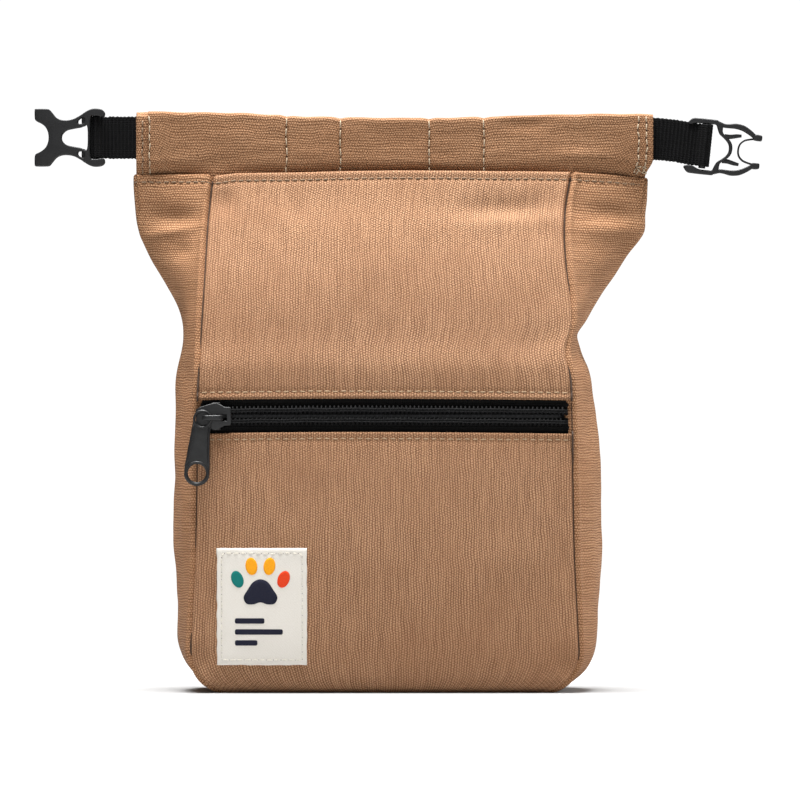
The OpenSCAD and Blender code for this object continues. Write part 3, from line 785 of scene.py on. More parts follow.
def make_floor():
    """A plain floor, lit so that it looks white but for the pouch's own shadow."""
    n = Nodes("floor")
    material = n.finish((0.37, 0.37, 0.37), 0.9)
    side, near, far = 700, -900, 320
    points = [(-side, near, 0), (side, near, 0), (side, far, 0), (-side, far, 0)]
    floor = make_mesh("floor", points, [(0, 1, 2, 3)], material, flip_check=False)


# ======== Body of the bag: base shape, relief, and a skin that others can stand on ========
def hem_lift(x):
    """How the top edge waves up and down along the bag."""
    return np.interp(x, [-93, -78, -68, -64, -56, 0, 45, 60, 66, 78, 93],
                     [-0.5, -0.6, -0.5, -1.3, -0.2, 0.8, 0.5, 0.3, 0.1, -0.5, -1.9])


def seam_place(z, side):
    """Place of a seam along X. The right seam kinks where the neck folds over the belly."""
    place = column(z, SEAM[side]) - side * corner(z, SEAM_R)
    if side > 0:
        place = place + 1.3 * hump(z, 138, 9) + 0.6 * hump(z, 131, 4) - 1.5 * hump(z, 121, 6)
    return place


def edge_place(z, side):
    place = column(z, EDGE[side]) - side * corner(z, CORNER_R)
    if side > 0:
        place = place - 1.1 * hump(z, 128, 3) + 0.9 * hump(z, 112, 7) + 1.0 * hump(z, 165, 6)
    return place


def half_depth(z, face):
    deep = column(z, DEPTH[face]) - corner(z, BASE_EDGE_R)
    return deep - 1.8 * np.clip(1 - z / 80, 0, 1) ** 1.3 if face < 0 else deep


def zip_arch(x, z):
    """The two folded edges at the zip bow up a little in the middle."""
    u = np.clip((x - ZIP_X0) / (ZIP_X1 - ZIP_X0), 0, 1)
    return 0.75 * np.sin(np.pi * u ** 0.8) * hump(z, ZIP_Z, 14)


def panel_base(face, u, z):
    """Front (face -1) or back (face 1) panel: u from -1 at the left seam to 1 at the right."""
    left, right = seam_place(z, -1), seam_place(z, 1)
    x = left * (1 - u) / 2 + right * (1 + u) / 2
    y = face * (half_depth(z, face) + column(z, BULGE[face]) * (1 - u * u))
    rise = hem_lift(x) * smoothstep(z, 140, HEM_Z)
    if face < 0:
        rise = rise + zip_arch(x, z)
    return np.stack([x, y, z + rise], -1)


def gusset_base(side, v, z):
    """Gusset: v from -1 at the front seam to 1 at the back seam."""
    seam, edge = seam_place(z, side), edge_place(z, side)
    x = seam + (edge - seam) * (1 - np.abs(v) ** column(z, ROUNDNESS))
    y = np.where(v < 0, v * half_depth(z, -1), v * half_depth(z, 1))
    rise = hem_lift(x) * smoothstep(z, 140, HEM_Z)
    return np.stack([x, y, z + rise], -1)


# Folds and dents seen from the front: middle X and Z, half length, half width, turn in
# degrees, height in mm (negative is a dent)
CREASES = [
    (-78, 170.5, 8.0, 3.2, 0, -1.5), (-80, 164.8, 10, 2.0, 10, 1.0), (-75.5, 158.0, 3.6, 3.6, 0, -1.1),
    (-60, 176.0, 5.5, 4.5, -20, -0.9), (-45, 171.0, 16, 4.0, -28, 0.3), (-58, 163, 14, 4.0, -40, -0.2),
    (40, 172.5, 16, 3.8, 2, -1.1), (44, 167.5, 18, 3.0, 3, 0.35), (78, 171.5, 10, 3.4, -3, -1.2),
    (79, 165.3, 11, 2.5, 4, 0.6), (83, 158.5, 4.5, 4.0, 30, -0.9), (74, 151, 9, 2.6, 55, 0.6),
    (69, 146, 7, 2.6, 50, -0.6), (58, 144, 4.5, 6.0, 0, -0.6), (54, 126, 10, 4.0, 24, -0.3),
    (-70.5, 135, 4, 10, 4, 0.5), (-72.5, 112, 2.2, 9, 0, -0.4),
    (-68, 10, 5, 2.4, 50, -0.7), (-70, 18, 6, 2.0, 62, 0.5), (62, 9, 6, 2.2, -52, -0.7),
    (64, 18, 6, 2.2, -62, 0.5), (-40, 60, 18, 7, -35, 0.3), (35, 45, 22, 8, 30, 0.3),
    (72, 60, 2.0, 26, 0, 0.5), (70.3, 88, 1.6, 10, 4, -0.5), (68.5, 122, 3.0, 4.0, 0, -1.0),
    (-74, 60, 1.8, 24, 2, 0.5), (-71.5, 40, 1.6, 12, -3, -0.35),
]


def crease_relief(x, z):
    total = np.zeros(np.shape(x))
    for cx, cz, length, width, turn, height in CREASES:
        c, s = math.cos(math.radians(turn)), math.sin(math.radians(turn))
        along = ((x - cx) * c + (z - cz) * s) / length
        across = (-(x - cx) * s + (z - cz) * c) / width
        total = total + height * np.exp(-(along**2) - across**2)
    return total


def seam_relief(run, roll=0.3):
    """A tight groove along a seam with a soft roll beside it; run is the distance from it."""
    return -2.6 * np.exp(-((run / 0.45) ** 2)) + roll * hump(run, 1.6, 0.9)


def front_relief(x, z):
    soft = 0.26 * ripples(x, z * 0.8, 11, 42) + 0.06 * ripples(x, z, 12, 15)
    neck = smoothstep(z, 105, 150)
    return crease_relief(x, z) + soft * (0.45 + 0.75 * neck)


def back_relief(x, z):
    soft = 0.55 * ripples(x, z * 0.8, 21, 36) + 0.18 * ripples(x, z, 22, 14)
    neck = smoothstep(z, 105, 150)
    return soft * (0.5 + 0.8 * neck)


def panel_relief(face, u, z, p):
    run = (1 - np.abs(u)) * (seam_place(z, 1) - seam_place(z, -1)) / 2
    field = front_relief(p[..., 0], z) if face < 0 else back_relief(p[..., 0], z)
    calm = smoothstep(z, 1, 12)
    relief = field * calm + seam_relief(run)
    top = HEM_Z - z
    relief = relief - 0.35 * hump(top, 1.9, 0.8) + 0.25 * hump(top, 0.4, 0.8)
    if face < 0:
        for edge, way in ((WINDOW_Z1, 1), (WINDOW_Z0, -1)):
            off = way * (z - edge)
            near = np.where(off >= 0, 1.0, 0.0)
            relief = relief * (1 - 0.8 * hump(off, 0, 7) * near)
            relief = relief + near * (0.35 * hump(off, 1.0, 1.2) - 0.35 * hump(off, 2.6, 0.7))
    return relief


def gusset_relief(side, v, z, p):
    width = np.hypot(edge_place(z, side) - seam_place(z, side), half_depth(z, -1))
    run = (1 - np.abs(v)) * width
    blend = smoothstep(v, -0.35, 0.35)
    wide = 0.6 * ripples(p[..., 1] * 1.2, z, 31 + side, 26)
    inner = (1 - v**4) * (wide + 0.2 * ripples(p[..., 1], z, 33 + side, 11))
    calm = smoothstep(z, 1, 12)
    both = front_relief(p[..., 0], z) * (1 - blend) + back_relief(p[..., 0], z) * blend
    relief = (both + inner * 0.9) * calm + seam_relief(run, 0.95)
    top = HEM_Z - z
    hem = 0.25 * hump(top, 0.4, 0.8) - 0.35 * hump(top, 1.9, 0.8)
    return relief + hem * (1 - hump(v, 0, 0.2))


PANELS = {"front": (panel_base, panel_relief, -1), "back": (panel_base, panel_relief, 1),
          "left": (gusset_base, gusset_relief, -1), "right": (gusset_base, gusset_relief, 1)}
# The way across a panel that keeps its outer side outside
HEADING = {"front": 1, "back": -1, "left": -1, "right": 1}


def skin(panel, a, z, lift=0.0):
    """Points on the canvas, lift mm above it, and the way out of it."""
    base, relief, key = PANELS[panel]
    a, z = np.broadcast_arrays(np.asarray(a, float), np.asarray(z, float))
    tiny_a, tiny_z = 0.004, 0.15
    zc = np.clip(z, 0.15, None)
    p = base(key, a, z)
    da = (base(key, a + tiny_a, zc) - base(key, a - tiny_a, zc)) * HEADING[panel]
    dz = base(key, a, zc + tiny_z) - base(key, a, zc - tiny_z)
    out = unit(np.cross(da, dz))
    return p + out * (relief(key, a, z, p) + lift)[..., None], out


def front_at(x, z, lift=0.0):
    """Point on the front of the canvas at a chosen X and height."""
    left, right = seam_place(z, -1), seam_place(z, 1)
    return skin("front", 2 * (x - left) / (right - left) - 1, z, lift)


def heights(low, high, step=1.0):
    """Rows of a panel, closer together round the bottom edge."""
    rows = []
    if low < BASE_EDGE_R:
        angles = np.linspace(0, math.pi / 2, 9)[:-1]
        rows = list(BASE_EDGE_R * (1 - np.cos(angles)))
        low = BASE_EDGE_R
    count = int(round((high - low) / step))
    return np.array(rows + list(np.linspace(low, high, count + 1)))


def dense_edges(inner, near, reach):
    """Places from -1 to 1: evenly spaced inside, and near of them within reach of each end."""
    edge = 1 - np.linspace(0, 1, near, endpoint=False) ** 2 * reach
    middle = np.linspace(-(1 - reach), 1 - reach, inner)
    return np.concatenate([-edge, middle, edge[::-1]])


def canvas_piece(name, panel, places, rows, material, fold_top, fold_bottom, nodes):
    places = places * HEADING[panel]
    face, out = skin(panel, places[None, :], rows[:, None])
    top_fold = smoothstep(rows, HEM_Z - 12.5, HEM_Z - 11.5)
    thickness = CANVAS_T + 0.6 * top_fold
    if fold_bottom or rows[-1] < HEM_Z - 1:
        edge = rows[-1] if rows[-1] < HEM_Z - 1 else rows[0]
        thickness = thickness + 0.5 * (np.abs(rows - edge) < 9)
    piece = thick_cloth(name, face, out, thickness[:, None], material, fold_top, fold_bottom)
    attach(piece, "pouch")
    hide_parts(*nodes)
    return piece


def make_body():
    wide = dense_edges(116, 11, 0.07)
    deep = dense_edges(47, 11, 0.18)
    front, side = MATERIALS["canvas_front"], MATERIALS["canvas_side"]
    low = heights(0, WINDOW_Z0 - 1.1)
    high = heights(WINDOW_Z1 + 0.7, HEM_Z)
    whole = heights(0, HEM_Z)
    canvas_piece("front_lower", "front", wide, low, front, 4, 0, ["front_lower_panel"])
    canvas_piece("front_upper", "front", wide, high, front, 4, 4, ["front_upper_panel"])
    canvas_piece("back", "back", wide, whole, front, 4, 0, ["back_panel"])
    canvas_piece("left_gusset", "left", deep, whole, side, 4, 0, ["gusset_left"])
    canvas_piece("right_gusset", "right", deep, whole, side, 4, 0, ["gusset_right"])
    make_bottom()
    make_liner()
    make_body_stitches()


def ring_at(z, inset, count_wide=60, count_deep=20):
    """Closed outline of the bag at height z, inset mm inside, counter-clockwise from above."""
    parts = []
    for panel, count in (("front", count_wide), ("right", count_deep), ("back", count_wide),
                         ("left", count_deep)):
        places = np.linspace(-1, 1, count, endpoint=False) * HEADING[panel]
        base, _, key = PANELS[panel]
        parts.append(base(key, places, np.full(count, float(z))))
    ring = np.concatenate(parts)
    middle = ring.mean(0)
    reach = ring - middle
    flat = np.linalg.norm(reach[:, :2], axis=1, keepdims=True)
    return middle + reach * np.maximum(1 - inset / np.maximum(flat, 1e-6), 0.01), middle


def make_bottom():
    """Bottom panel: a sheet that meets the walls' lower edge, slightly domed up inside."""
    ring, middle = ring_at(0, 0.4)
    shares = np.array([1.0, 0.985, 0.95, 0.85, 0.7, 0.5, 0.3, 0.1])
    lower, upper = [], []
    for share in shares:
        p = middle + (ring - middle) * share
        relief = 0.25 * ripples(p[:, 0], p[:, 1], 41, 30) * (1 - share)
        rise = 0.45 * (1 - share) ** 0.5 + np.abs(relief)
        rise = rise + 0.5 * hump(share, 1, 0.02)
        lower.append(np.column_stack([p[:, :2], rise]))
        upper.append(np.column_stack([p[:, :2], rise + CANVAS_T]))
    rings = np.stack(upper[::-1] + lower)
    points, faces = loft(rings)
    cloth = points[:, :2]
    piece = make_mesh("bottom", points, faces, MATERIALS["canvas_front"], cloth)
    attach(piece, "pouch")
    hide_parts("bottom_panel")


def make_liner():
    """Wipe-clean liner inside the canvas and behind the zip pocket, and the pocket's own back."""
    gap, pocket_gap = 1.5, 4.5
    levels = np.concatenate([heights(0, 20, 2.5) + 2.0, np.linspace(26, HEM_Z - 2, 60)])
    outer, inner = [], []
    for z in levels:
        behind = gap + (pocket_gap - gap) * (1 - smoothstep(z, 118, 138))
        ring, middle = ring_at(min(max(z - 2.0, 0.4), HEM_Z) if z < 22 else z, 0)
        x, y = ring[:, 0], ring[:, 1]
        half = np.abs(y).max()
        clear = 1.4 * smoothstep(z, 130, 160)
        room = np.where(y < 0, behind + 0.5, gap + 0.3)
        shrink = (half - room - clear) / half
        relief = 0.3 * ripples(x, np.full_like(x, z), 51, 17) * smoothstep(z, 8, 30)
        span = np.abs(x - middle[0]).max()
        squeeze = (span - gap - 0.8 - clear) / span
        points = np.column_stack([middle[0] + (x - middle[0]) * squeeze,
                                  y * shrink + relief * 0.3, np.full_like(x, z)])
        outer.append(points)
        thin = points.copy()
        thin[:, 0] = middle[0] + (thin[:, 0] - middle[0]) * (1 - 0.6 / span)
        thin[:, 1] *= 1 - 0.6 / half
        inner.append(thin)
    floor_share = [0.6, 0.25, 0.02]
    low_out = [np.column_stack([outer[0][:, :2] * s, np.full(len(outer[0]), levels[0])])
               for s in floor_share[::-1]]
    low_in = [np.column_stack([inner[0][:, :2] * s, np.full(len(outer[0]), levels[0] + 0.6)])
              for s in floor_share]
    inner[0][:, 2] += 0.6
    rings = np.stack(low_out + outer + inner[::-1] + low_in)
    points, faces = loft(rings)
    piece = make_mesh("liner_bag", points, faces, MATERIALS["liner"])
    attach(piece, "pouch")
    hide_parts("liner")
    rows = np.linspace(22.4, 115.6, 48)
    places = np.linspace(-0.95, 0.95, 60)
    base = panel_base(-1, places[None, :], rows[:, None])
    base[..., 1] += 3.75 + 0.15 * ripples(base[..., 0], base[..., 2], 52, 20)
    piece = thick_cloth("pocket_wall", base, facing(base, -1), 0.5, MATERIALS["liner"])
    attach(piece, "pouch")
    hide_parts("pocket_back")


def make_body_stitches():
    """Topstitching round the hem and along both edges of the zip window; dark tubes in the seams as
    painted seam shadow.
    """
    seam_out = 1.35
    # Painted shadow: a dark tube sunk in each seam's groove stands in for the shadow line there.
    for panel in ("front", "back"):
        for u, end in ((-0.9985, "left"), (0.9985, "right")):
            path, out = skin(panel, u, np.linspace(1.5, HEM_Z - 0.6, 260))
            path[:, 1] += out[:, 1] * seam_out
            points, faces = tube(path, 0.34, 6)
            seam = make_mesh(f"painted_seam_shadow_{panel}_{end}", points, faces, MATERIALS["painted_shade_dark"],
                             flip_check=False)
            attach(seam, "pouch")
    tan, sand = MATERIALS["thread_tan"], MATERIALS["thread_sand"]
    steps = np.linspace(-0.985, 0.985, 240)
    for panel in PANELS:
        path, out = skin(panel, steps * HEADING[panel], HEM_Z - 1.9, 0.02)
        row = stitch_row("hem_stitches_" + panel, path, out, 2.7, tan, 0.46, 0.78)
        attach(row, "pouch")
    for name, z in (("zip_stitches_upper", WINDOW_Z1 + 2.6), ("zip_stitches_lower", WINDOW_Z0 - 2.6)):
        path, out = skin("front", steps, z)
        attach(stitch_row(name, path, out, 2.9, sand, 0.42, 0.76), "pouch")


# ======== Zip ========
def make_zip():
    tape, coil = MATERIALS["tape"], MATERIALS["coil"]
    for side, end in ((1, "upper"), (-1, "lower")):
        rows = np.linspace(0.6, 13.4, 27)
        if side < 0:
            rows = -rows[::-1]
        xs = np.linspace(ZIP_X0 - 0.5, ZIP_X1 + 0.5, 132)
        x, dz = np.meshgrid(xs, rows)
        sag = 0.12 * ripples(x, dz, 61 + side, 22)
        cord = 0.25 * hump(np.abs(dz), 4.1, 0.5)
        y = TAPE_Y - cord + sag * smoothstep(np.abs(dz), 3, 7)
        face = np.stack([x, y, ZIP_Z + dz], -1)
        piece = thick_cloth("tape_" + end, face, facing(face, -1), 0.6, tape)
        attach(piece, "pouch")
        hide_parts("zipper_tape_" + end)
        piece = coil_row("coil_" + end, side, coil)
        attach(piece, "pouch")
        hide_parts("zipper_coil_" + end)


def coil_arch(x):
    """The zip itself bows up a little between its ends."""
    u = np.clip((x - ZIP_X0) / (ZIP_X1 - ZIP_X0), 0, 1)
    return 0.55 * np.sin(np.pi * u**0.8) - 0.12


def coil_row(name, side, material):
    """One row of coil: a flattened helix with a core cord, and the thread that holds it down."""
    pitch, wire = 1.5, 0.34
    low, high = 0.7, 3.2
    per_turn = 12
    turns = int((ZIP_X1 - ZIP_X0 - 2) / pitch)
    a = np.arange(turns * per_turn + 1) * 2 * math.pi / per_turn
    x = ZIP_X0 + 1 + pitch * (a / (2 * math.pi) + (0.5 if side > 0 else 0.0))
    lean = 0.42 * np.cos(a)
    z = ZIP_Z + side * ((low + high) / 2 - (high - low) / 2 * np.cos(a)) + coil_arch(x)
    y = TAPE_Y - 1.15 - 0.78 * np.sin(a)
    parts = [tube(np.column_stack([x + lean, y, z]), wire, 6)]
    straight = np.linspace(ZIP_X0, ZIP_X1, 80)
    for dz, dy, r in ((2.35, -2.02, 0.22), (1.45, -2.0, 0.2), (1.9, -1.15, 0.55)):
        path = np.column_stack([straight, np.full(80, TAPE_Y + dy), np.full(80, ZIP_Z + side * dz)])
        path[:, 2] += 0.07 * np.sin(straight * 2 * math.pi / pitch) + coil_arch(straight)
        parts.append(tube(path, r, 6))
    points, faces = gather(parts)
    return make_mesh(name, points, faces, material, flip_check=False)


SLIDER_X0 = -69.4
SLIDER_L = 12.5
SLIDER_HALF = 4.9
FRONT_PLATE_Y = -27.1
BACK_PLATE_Y = -22.8


def slider_outline(cut):
    """Slider plate: narrow at both ends, widest past its middle, with soft corners."""
    h, l = SLIDER_HALF, SLIDER_L
    half = [(cut, h * 0.50), (cut + 1.4, h * 0.68), (l * 0.52, h * 0.99), (l * 0.60, h * 0.99),
            (l - 2.4, h * 0.68), (l - 0.3, h * 0.66), (l, h * 0.55)]
    return [(SLIDER_X0 + x, ZIP_Z - z) for x, z in half + mirrored(half)]


def at_y(obj, y):
    return moved(obj, lambda p: p + (0, y, 0))


def make_slider():
    """Slider: two plates, side flanges, the post between them and the crown over the pull."""
    metal = MATERIALS["metal"]
    crown_z = ZIP_Z - 0.5
    slot_x = SLIDER_X0 + 10.4
    slot = rectangle(slot_x - 1.1, slot_x + 0.5, crown_z - 1.15, crown_z + 1.15)
    front = at_y(plate("front_plate", slider_outline(0), 1.0, metal, [slot], 0.3), FRONT_PLATE_Y)
    back = at_y(plate("back_plate", slider_outline(1.1), 1.0, metal, [], 0.3), BACK_PLATE_Y)
    parts = [front, back]
    middle = SLIDER_X0 + SLIDER_L * 0.57
    for side in (-1, 1):
        edge = ZIP_Z + side * (SLIDER_HALF - 0.45)
        flange = rectangle(middle - 1.5, middle + 1.5, edge - 0.42, edge + 0.42)
        parts.append(at_y(plate("flange", flange, 2.3, metal, [], 0.15), FRONT_PLATE_Y + 1.35))
    post = rectangle(SLIDER_X0 + 1.3, SLIDER_X0 + 3.9, ZIP_Z - 0.3, ZIP_Z + 0.1)
    parts.append(at_y(plate("post", post, 3.9, metal, [], 0.1), (FRONT_PLATE_Y + BACK_PLATE_Y) / 2))
    parts.append(crown_bar(metal, crown_z))
    piece = join("slider", parts)
    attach(piece, "slider")
    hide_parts("slider_body")


def crown_bar(material, z):
    """The bridge that traps the pull's eye: it springs from the plate and runs flat."""
    x0, x1 = SLIDER_X0 + 2.3, SLIDER_X0 + 9.7
    top, low = -30.75, -26.9
    path = open_curve([(x0 + 0.45, low), (x0 + 0.45, top + 1.4), (x0 + 1.2, top),
                       (x0 + 3.7, top - 0.12), (x1 - 1.2, top), (x1 - 0.45, top + 1.4),
                       (x1 - 0.45, low)], 6)
    along = unit(np.gradient(path, axis=0))
    normal = np.stack([along[:, 1], -along[:, 0]], -1)
    ring = round_box(1.0, 1.8, 0.35)
    rings = np.zeros((len(path), len(ring), 3))
    rings[..., 0] = path[:, None, 0] + ring[None, :, 0] * normal[:, None, 0]
    rings[..., 1] = path[:, None, 1] + ring[None, :, 0] * normal[:, None, 1]
    rings[..., 2] = z + ring[None, :, 1]
    points, faces = loft(rings)
    piece = make_mesh("crown", points, faces, material)
    smooth_by_angle(piece, 50)
    return piece


def round_box(width, height, r, steps=3):
    """Outline of a rectangle with round corners, centred on 0."""
    points = []
    for cx, cy, start in ((1, 1, 0), (-1, 1, 90), (-1, -1, 180), (1, -1, 270)):
        for k in range(steps + 1):
            a = math.radians(start + 90 * k / steps)
            points.append((cx * (width / 2 - r) + r * math.cos(a),
                           cy * (height / 2 - r) + r * math.sin(a)))
    return np.array(points)


PULL_Y = -28.7
RIM_Y = PULL_Y - 0.42
EYE = np.array([-67.1, 97.4])
PULL_LEAN = math.radians(5.7)
PULL_END = EYE - 19.2 * np.array([math.sin(PULL_LEAN), math.cos(PULL_LEAN)])
PULL_DOWN = unit(PULL_END - EYE)
PULL_SIDE = np.array([PULL_DOWN[1], -PULL_DOWN[0]])


def pull_spot(run, out):
    """Point of the pull at a distance down from its eye, and out to one side."""
    return EYE + PULL_DOWN * run + PULL_SIDE * out


def pull_outline():
    """Outline of the pull: a round eye end, a body that widens, and a round finger end."""
    left = [pull_spot(r, -w) for r, w in ((1.5, 3.3), (6, 3.35), (10, 3.6), (14, 4.0), (17, 4.35))]
    right = [pull_spot(r, w) for r, w in ((17, 4.6), (14, 4.3), (10, 4.0), (6, 3.6), (1.5, 3.2))]
    start = math.atan2(*(-PULL_SIDE)[::-1])
    low = [PULL_END + 4.6 * np.array([math.cos(a), math.sin(a)])
           for a in start - np.radians(np.linspace(15, 165, 16))]
    high = [EYE + 3.4 * np.array([math.cos(a), math.sin(a)])
            for a in start + math.pi - np.radians(np.linspace(28, 152, 14))]
    return np.array(left + low + right + high)


def make_pull():
    """Pull: a plate with raised rims along both sides and round the finger hole."""
    metal = MATERIALS["metal"]
    hole = circle(*PULL_END, 3.2, 40)
    eye = circle(*EYE, 2.45, 32)
    body = plate("pull_body", pull_outline(), 1.0, metal, [hole, eye], 0.3)
    parts = [at_y(body, PULL_Y)]
    for way in (-1, 1):
        line = [pull_spot(r, way * w)
                for r, w in ((2.0, 2.75), (6, 2.85), (10, 3.2), (14, 3.6), (16.4, 4.0))]
        line = open_curve(line, 5)
        path = np.column_stack([line[:, 0], np.full(len(line), RIM_Y), line[:, 1]])
        swell = 0.44 * np.sqrt(np.clip(1 - np.linspace(-1, 1, len(line)) ** 8, 0.02, 1))
        parts.append(make_mesh("rim", *tube(path, swell, 8), metal, flip_check=False))
    parts.append(ring_bead("hole_rim", PULL_END, 3.85, 0.46, metal))
    parts.append(ring_bead("eye_rim", EYE, 2.95, 0.36, metal))
    piece = join("zip_pull", parts)
    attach(piece, "pull")
    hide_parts("pull_tab")


def ring_bead(name, centre, radius, thick, material):
    """A raised round bead on the front of the pull."""
    a = np.arange(41) * 2 * math.pi / 40
    b = np.arange(8) * 2 * math.pi / 8
    r = radius + thick * np.cos(b)[None, :]
    x = centre[0] + r * np.cos(a)[:-1, None]
    z = centre[1] + r * np.sin(a)[:-1, None]
    y = np.broadcast_to(RIM_Y + thick * np.sin(b), x.shape)
    rings = np.stack([x, y, z], -1)
    faces = loft_faces(40, 8)
    faces += [(39 * 8 + c, 39 * 8 + (c + 1) % 8, (c + 1) % 8, c) for c in range(8)]
    return make_mesh(name, rings.reshape(-1, 3), faces, material)


# ======== Label ========
LABEL = (-62, -30, 10.2, 51.5)


def make_label():
    x0, x1, z0, z1 = LABEL
    xs, zs = np.linspace(x0, x1, 46), np.linspace(z0, z1, 58)
    x, z = np.meshgrid(xs, zs)
    fray = 0.16 * ripples(x, z, 71, 5)
    rim = np.minimum.reduce([x - x0, x1 - x, z - z0, z1 - z])
    edge = smoothstep(rim, 1.2, 0)
    x = x + fray * edge * 0.8
    z = z + fray * edge * 0.7
    lift = 0.62 - 0.14 * hump(rim, 1.7, 0.5) - 0.25 * smoothstep(rim, 0.5, 0)
    face, out = front_at(x, z, lift + 0.05 * ripples(x, z, 72, 12))
    piece = thick_cloth("label", face, out, 0.45, MATERIALS["label"], 2, 2)
    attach(piece, "pouch")
    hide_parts("label_patch")
    inset = 1.7
    xa, xb, za, zb = x0 + inset, x1 - inset, z0 + inset, z1 - inset
    round_x = np.concatenate([np.linspace(xa, xb, 60), np.full(80, xb), np.linspace(xb, xa, 60),
                              np.full(80, xa)])
    round_z = np.concatenate([np.full(60, za), np.linspace(za, zb, 80), np.full(60, zb),
                              np.linspace(zb, za, 80)])
    path, out = front_at(round_x, round_z, 0.5)
    row = stitch_row("label_stitches", path, out, 2.6, MATERIALS["thread_white"], 0.34, 0.72, 0.05)
    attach(row, "pouch")
    make_print()


def printed(name, outline, material, thick=0.06):
    """A printed shape that lies on the label: outline is (n, 2), convex enough for a fan."""
    outline = np.asarray(outline, float)
    middle = outline.mean(0)
    shares = (1.0, 0.75, 0.5, 0.25)
    top = []
    for s in shares:
        p = middle + (outline - middle) * s
        top.append(front_at(p[:, 0], p[:, 1], 0.66 + thick)[0])
    base = front_at(outline[:, 0], outline[:, 1], 0.5)[0]
    rings = np.stack([base, *top])
    points, faces = loft(rings)
    piece = make_mesh(name, points, faces, material)
    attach(piece, "pouch")
    return piece


def make_print():
    """A generic paw print over three short bars."""
    x0, x1, z0, z1 = LABEL
    middle, base = (x0 + x1) / 2 - 0.5, z0 + 22.4
    pad = round_outline([(0, 8.0), (2.6, 7.0), (4.6, 4.2), (6.0, 1.6), (5.0, -0.6), (2.6, -0.9),
                         (0, -0.2), (-2.6, -0.9), (-5.0, -0.6), (-6.0, 1.6), (-4.6, 4.2),
                         (-2.6, 7.0)], 5)
    printed("print_pad", pad + (middle, base), MATERIALS["ink_navy"])
    toes = [(-8.2, 8.0, 22, "ink_teal"), (-3.2, 12.6, 8, "ink_amber"), (3.2, 12.6, -8, "ink_amber"),
            (8.2, 8.0, -22, "ink_red")]
    for i, (x, z, turn, ink) in enumerate(toes):
        toe = ring_of(2.1, 3.1, 28)
        c, s = math.cos(math.radians(turn)), math.sin(math.radians(turn))
        toe = np.stack([toe[:, 0] * c - toe[:, 1] * s, toe[:, 0] * s + toe[:, 1] * c], -1)
        printed(f"print_toe_{i + 1}", toe + (middle + x, base + z), MATERIALS[ink])
    for i, width in enumerate((10.5, 17.0, 8.0)):
        bar = round_box(width, 1.9, 0.6) + (x0 + 6.4 + width / 2, z0 + 15.6 - 3.9 * i)
        printed(f"print_bar_{i + 1}", bar, MATERIALS["ink_navy"])


# ======== Collar ========
COLLAR_X0, COLLAR_X1 = -91.6, 93.7
COLLAR_Z0, COLLAR_Z1 = 186.0, 206.8
COLLAR_FOOT = 178.0
END_GAP, MOUTH_GAP, WALL_T = 0.8, 2.8, 2.8
CHANNEL_X = (-37.7, -18.4, 13.4, 33.0)


def collar_bow(x):
    """Distance of a collar wall's inner face from the middle plane."""
    u = np.clip((2 * x - COLLAR_X0 - COLLAR_X1) / (COLLAR_X1 - COLLAR_X0), -1, 1)
    return END_GAP + (MOUTH_GAP - END_GAP) * (1 - u * u)


def collar_top(x):
    """Height of the collar's top fold, which waves and dips at the stitched channels."""
    top = np.interp(x, [-92, -86, -50, -30, 0, 20, 50, 80, 94],
                    [207.6, 207.7, 207.0, 205.9, 205.3, 205.4, 206.4, 206.9, 206.6])
    for c in CHANNEL_X:
        top = top - 0.45 * hump(x, c, 1.6)
    return top + 0.18 * ripples(x, np.zeros_like(x), 81, 16)


def collar_relief(x, z, face):
    """Waves of the stiffened collar, pulled in along the channels' stitches."""
    seed = 82 if face < 0 else 85
    relief = 0.26 * ripples(x, z * 1.6, seed, 30) + 0.10 * ripples(x * 0.7, z * 1.8, seed + 1, 12)
    for c in CHANNEL_X:
        beside = hump(np.abs(x - c), 2.6, 1.5)
        relief = relief * (1 - 0.5 * hump(x, c, 2)) - 0.55 * hump(x, c, 0.9) + 0.25 * beside
    if face < 0:
        for cx, wide, cz, tall, height in ((74, 7, 187.5, 2.6, -1.3), (66, 9, 192, 2.4, 0.8),
                                           (-60, 12, 189, 4, -0.3), (48, 8, 203, 2.5, -0.6)):
            relief = relief + height * hump(x, cx, wide) * hump(z, cz, tall)
    return relief


def mouth_room(x):
    """How far from the middle plane the inside of the bag's mouth reaches at X."""
    z = np.full(np.shape(x), HEM_Z)
    seam = np.where(x < 0, seam_place(z, -1), seam_place(z, 1))
    edge = np.where(x < 0, edge_place(z, -1), edge_place(z, 1))
    out = np.clip((x - seam) / (edge - seam), 0, 1)
    return np.maximum(half_depth(z, -1) * (1 - out) ** (1 / 1.1) - 2.1, 0.3)


def collar_reach(x, z, face):
    """Distance of a collar wall's outer side from the middle plane: it tucks in behind the hem."""
    calm = smoothstep(z, 183, 188)
    full = collar_bow(x) + WALL_T - 0.25 + collar_relief(x, z, face) * (0.25 + 0.75 * calm)
    tucked = np.minimum(full, mouth_room(x))
    free = smoothstep(z, 184.6, 190)
    return tucked + (full - tucked) * free


def collar_foot(x):
    """Lowest edge of the collar: well inside the bag, but on the hem where the mouth is flat."""
    flat = smoothstep(np.abs(x - 1), 79, 86)
    return COLLAR_FOOT + (HEM_Z + hem_lift(x) - 0.1 - COLLAR_FOOT) * flat


def collar_wall(face, x0, x1):
    """Outer side of a collar wall as rows of points, with the way out of it."""
    xs = np.linspace(x0, x1, 186)
    xs = np.sort(np.concatenate([xs, *[c + np.linspace(-1.2, 1.2, 9) for c in CHANNEL_X
                                      if x0 < c < x1]]))
    share = np.linspace(0, 1, 30)
    x = np.broadcast_to(xs, (30, len(xs)))
    top = collar_top(x) - 1.35
    low = collar_foot(x)
    z = low + (top - low) * share[:, None]
    y = face * collar_reach(x, z, face)
    inset = smoothstep(z, 190.5, 184) * smoothstep(x, COLLAR_X1 - 8, COLLAR_X1) * 2.8
    points = np.stack([x - inset, y, z], -1)
    return points, facing(points, face)


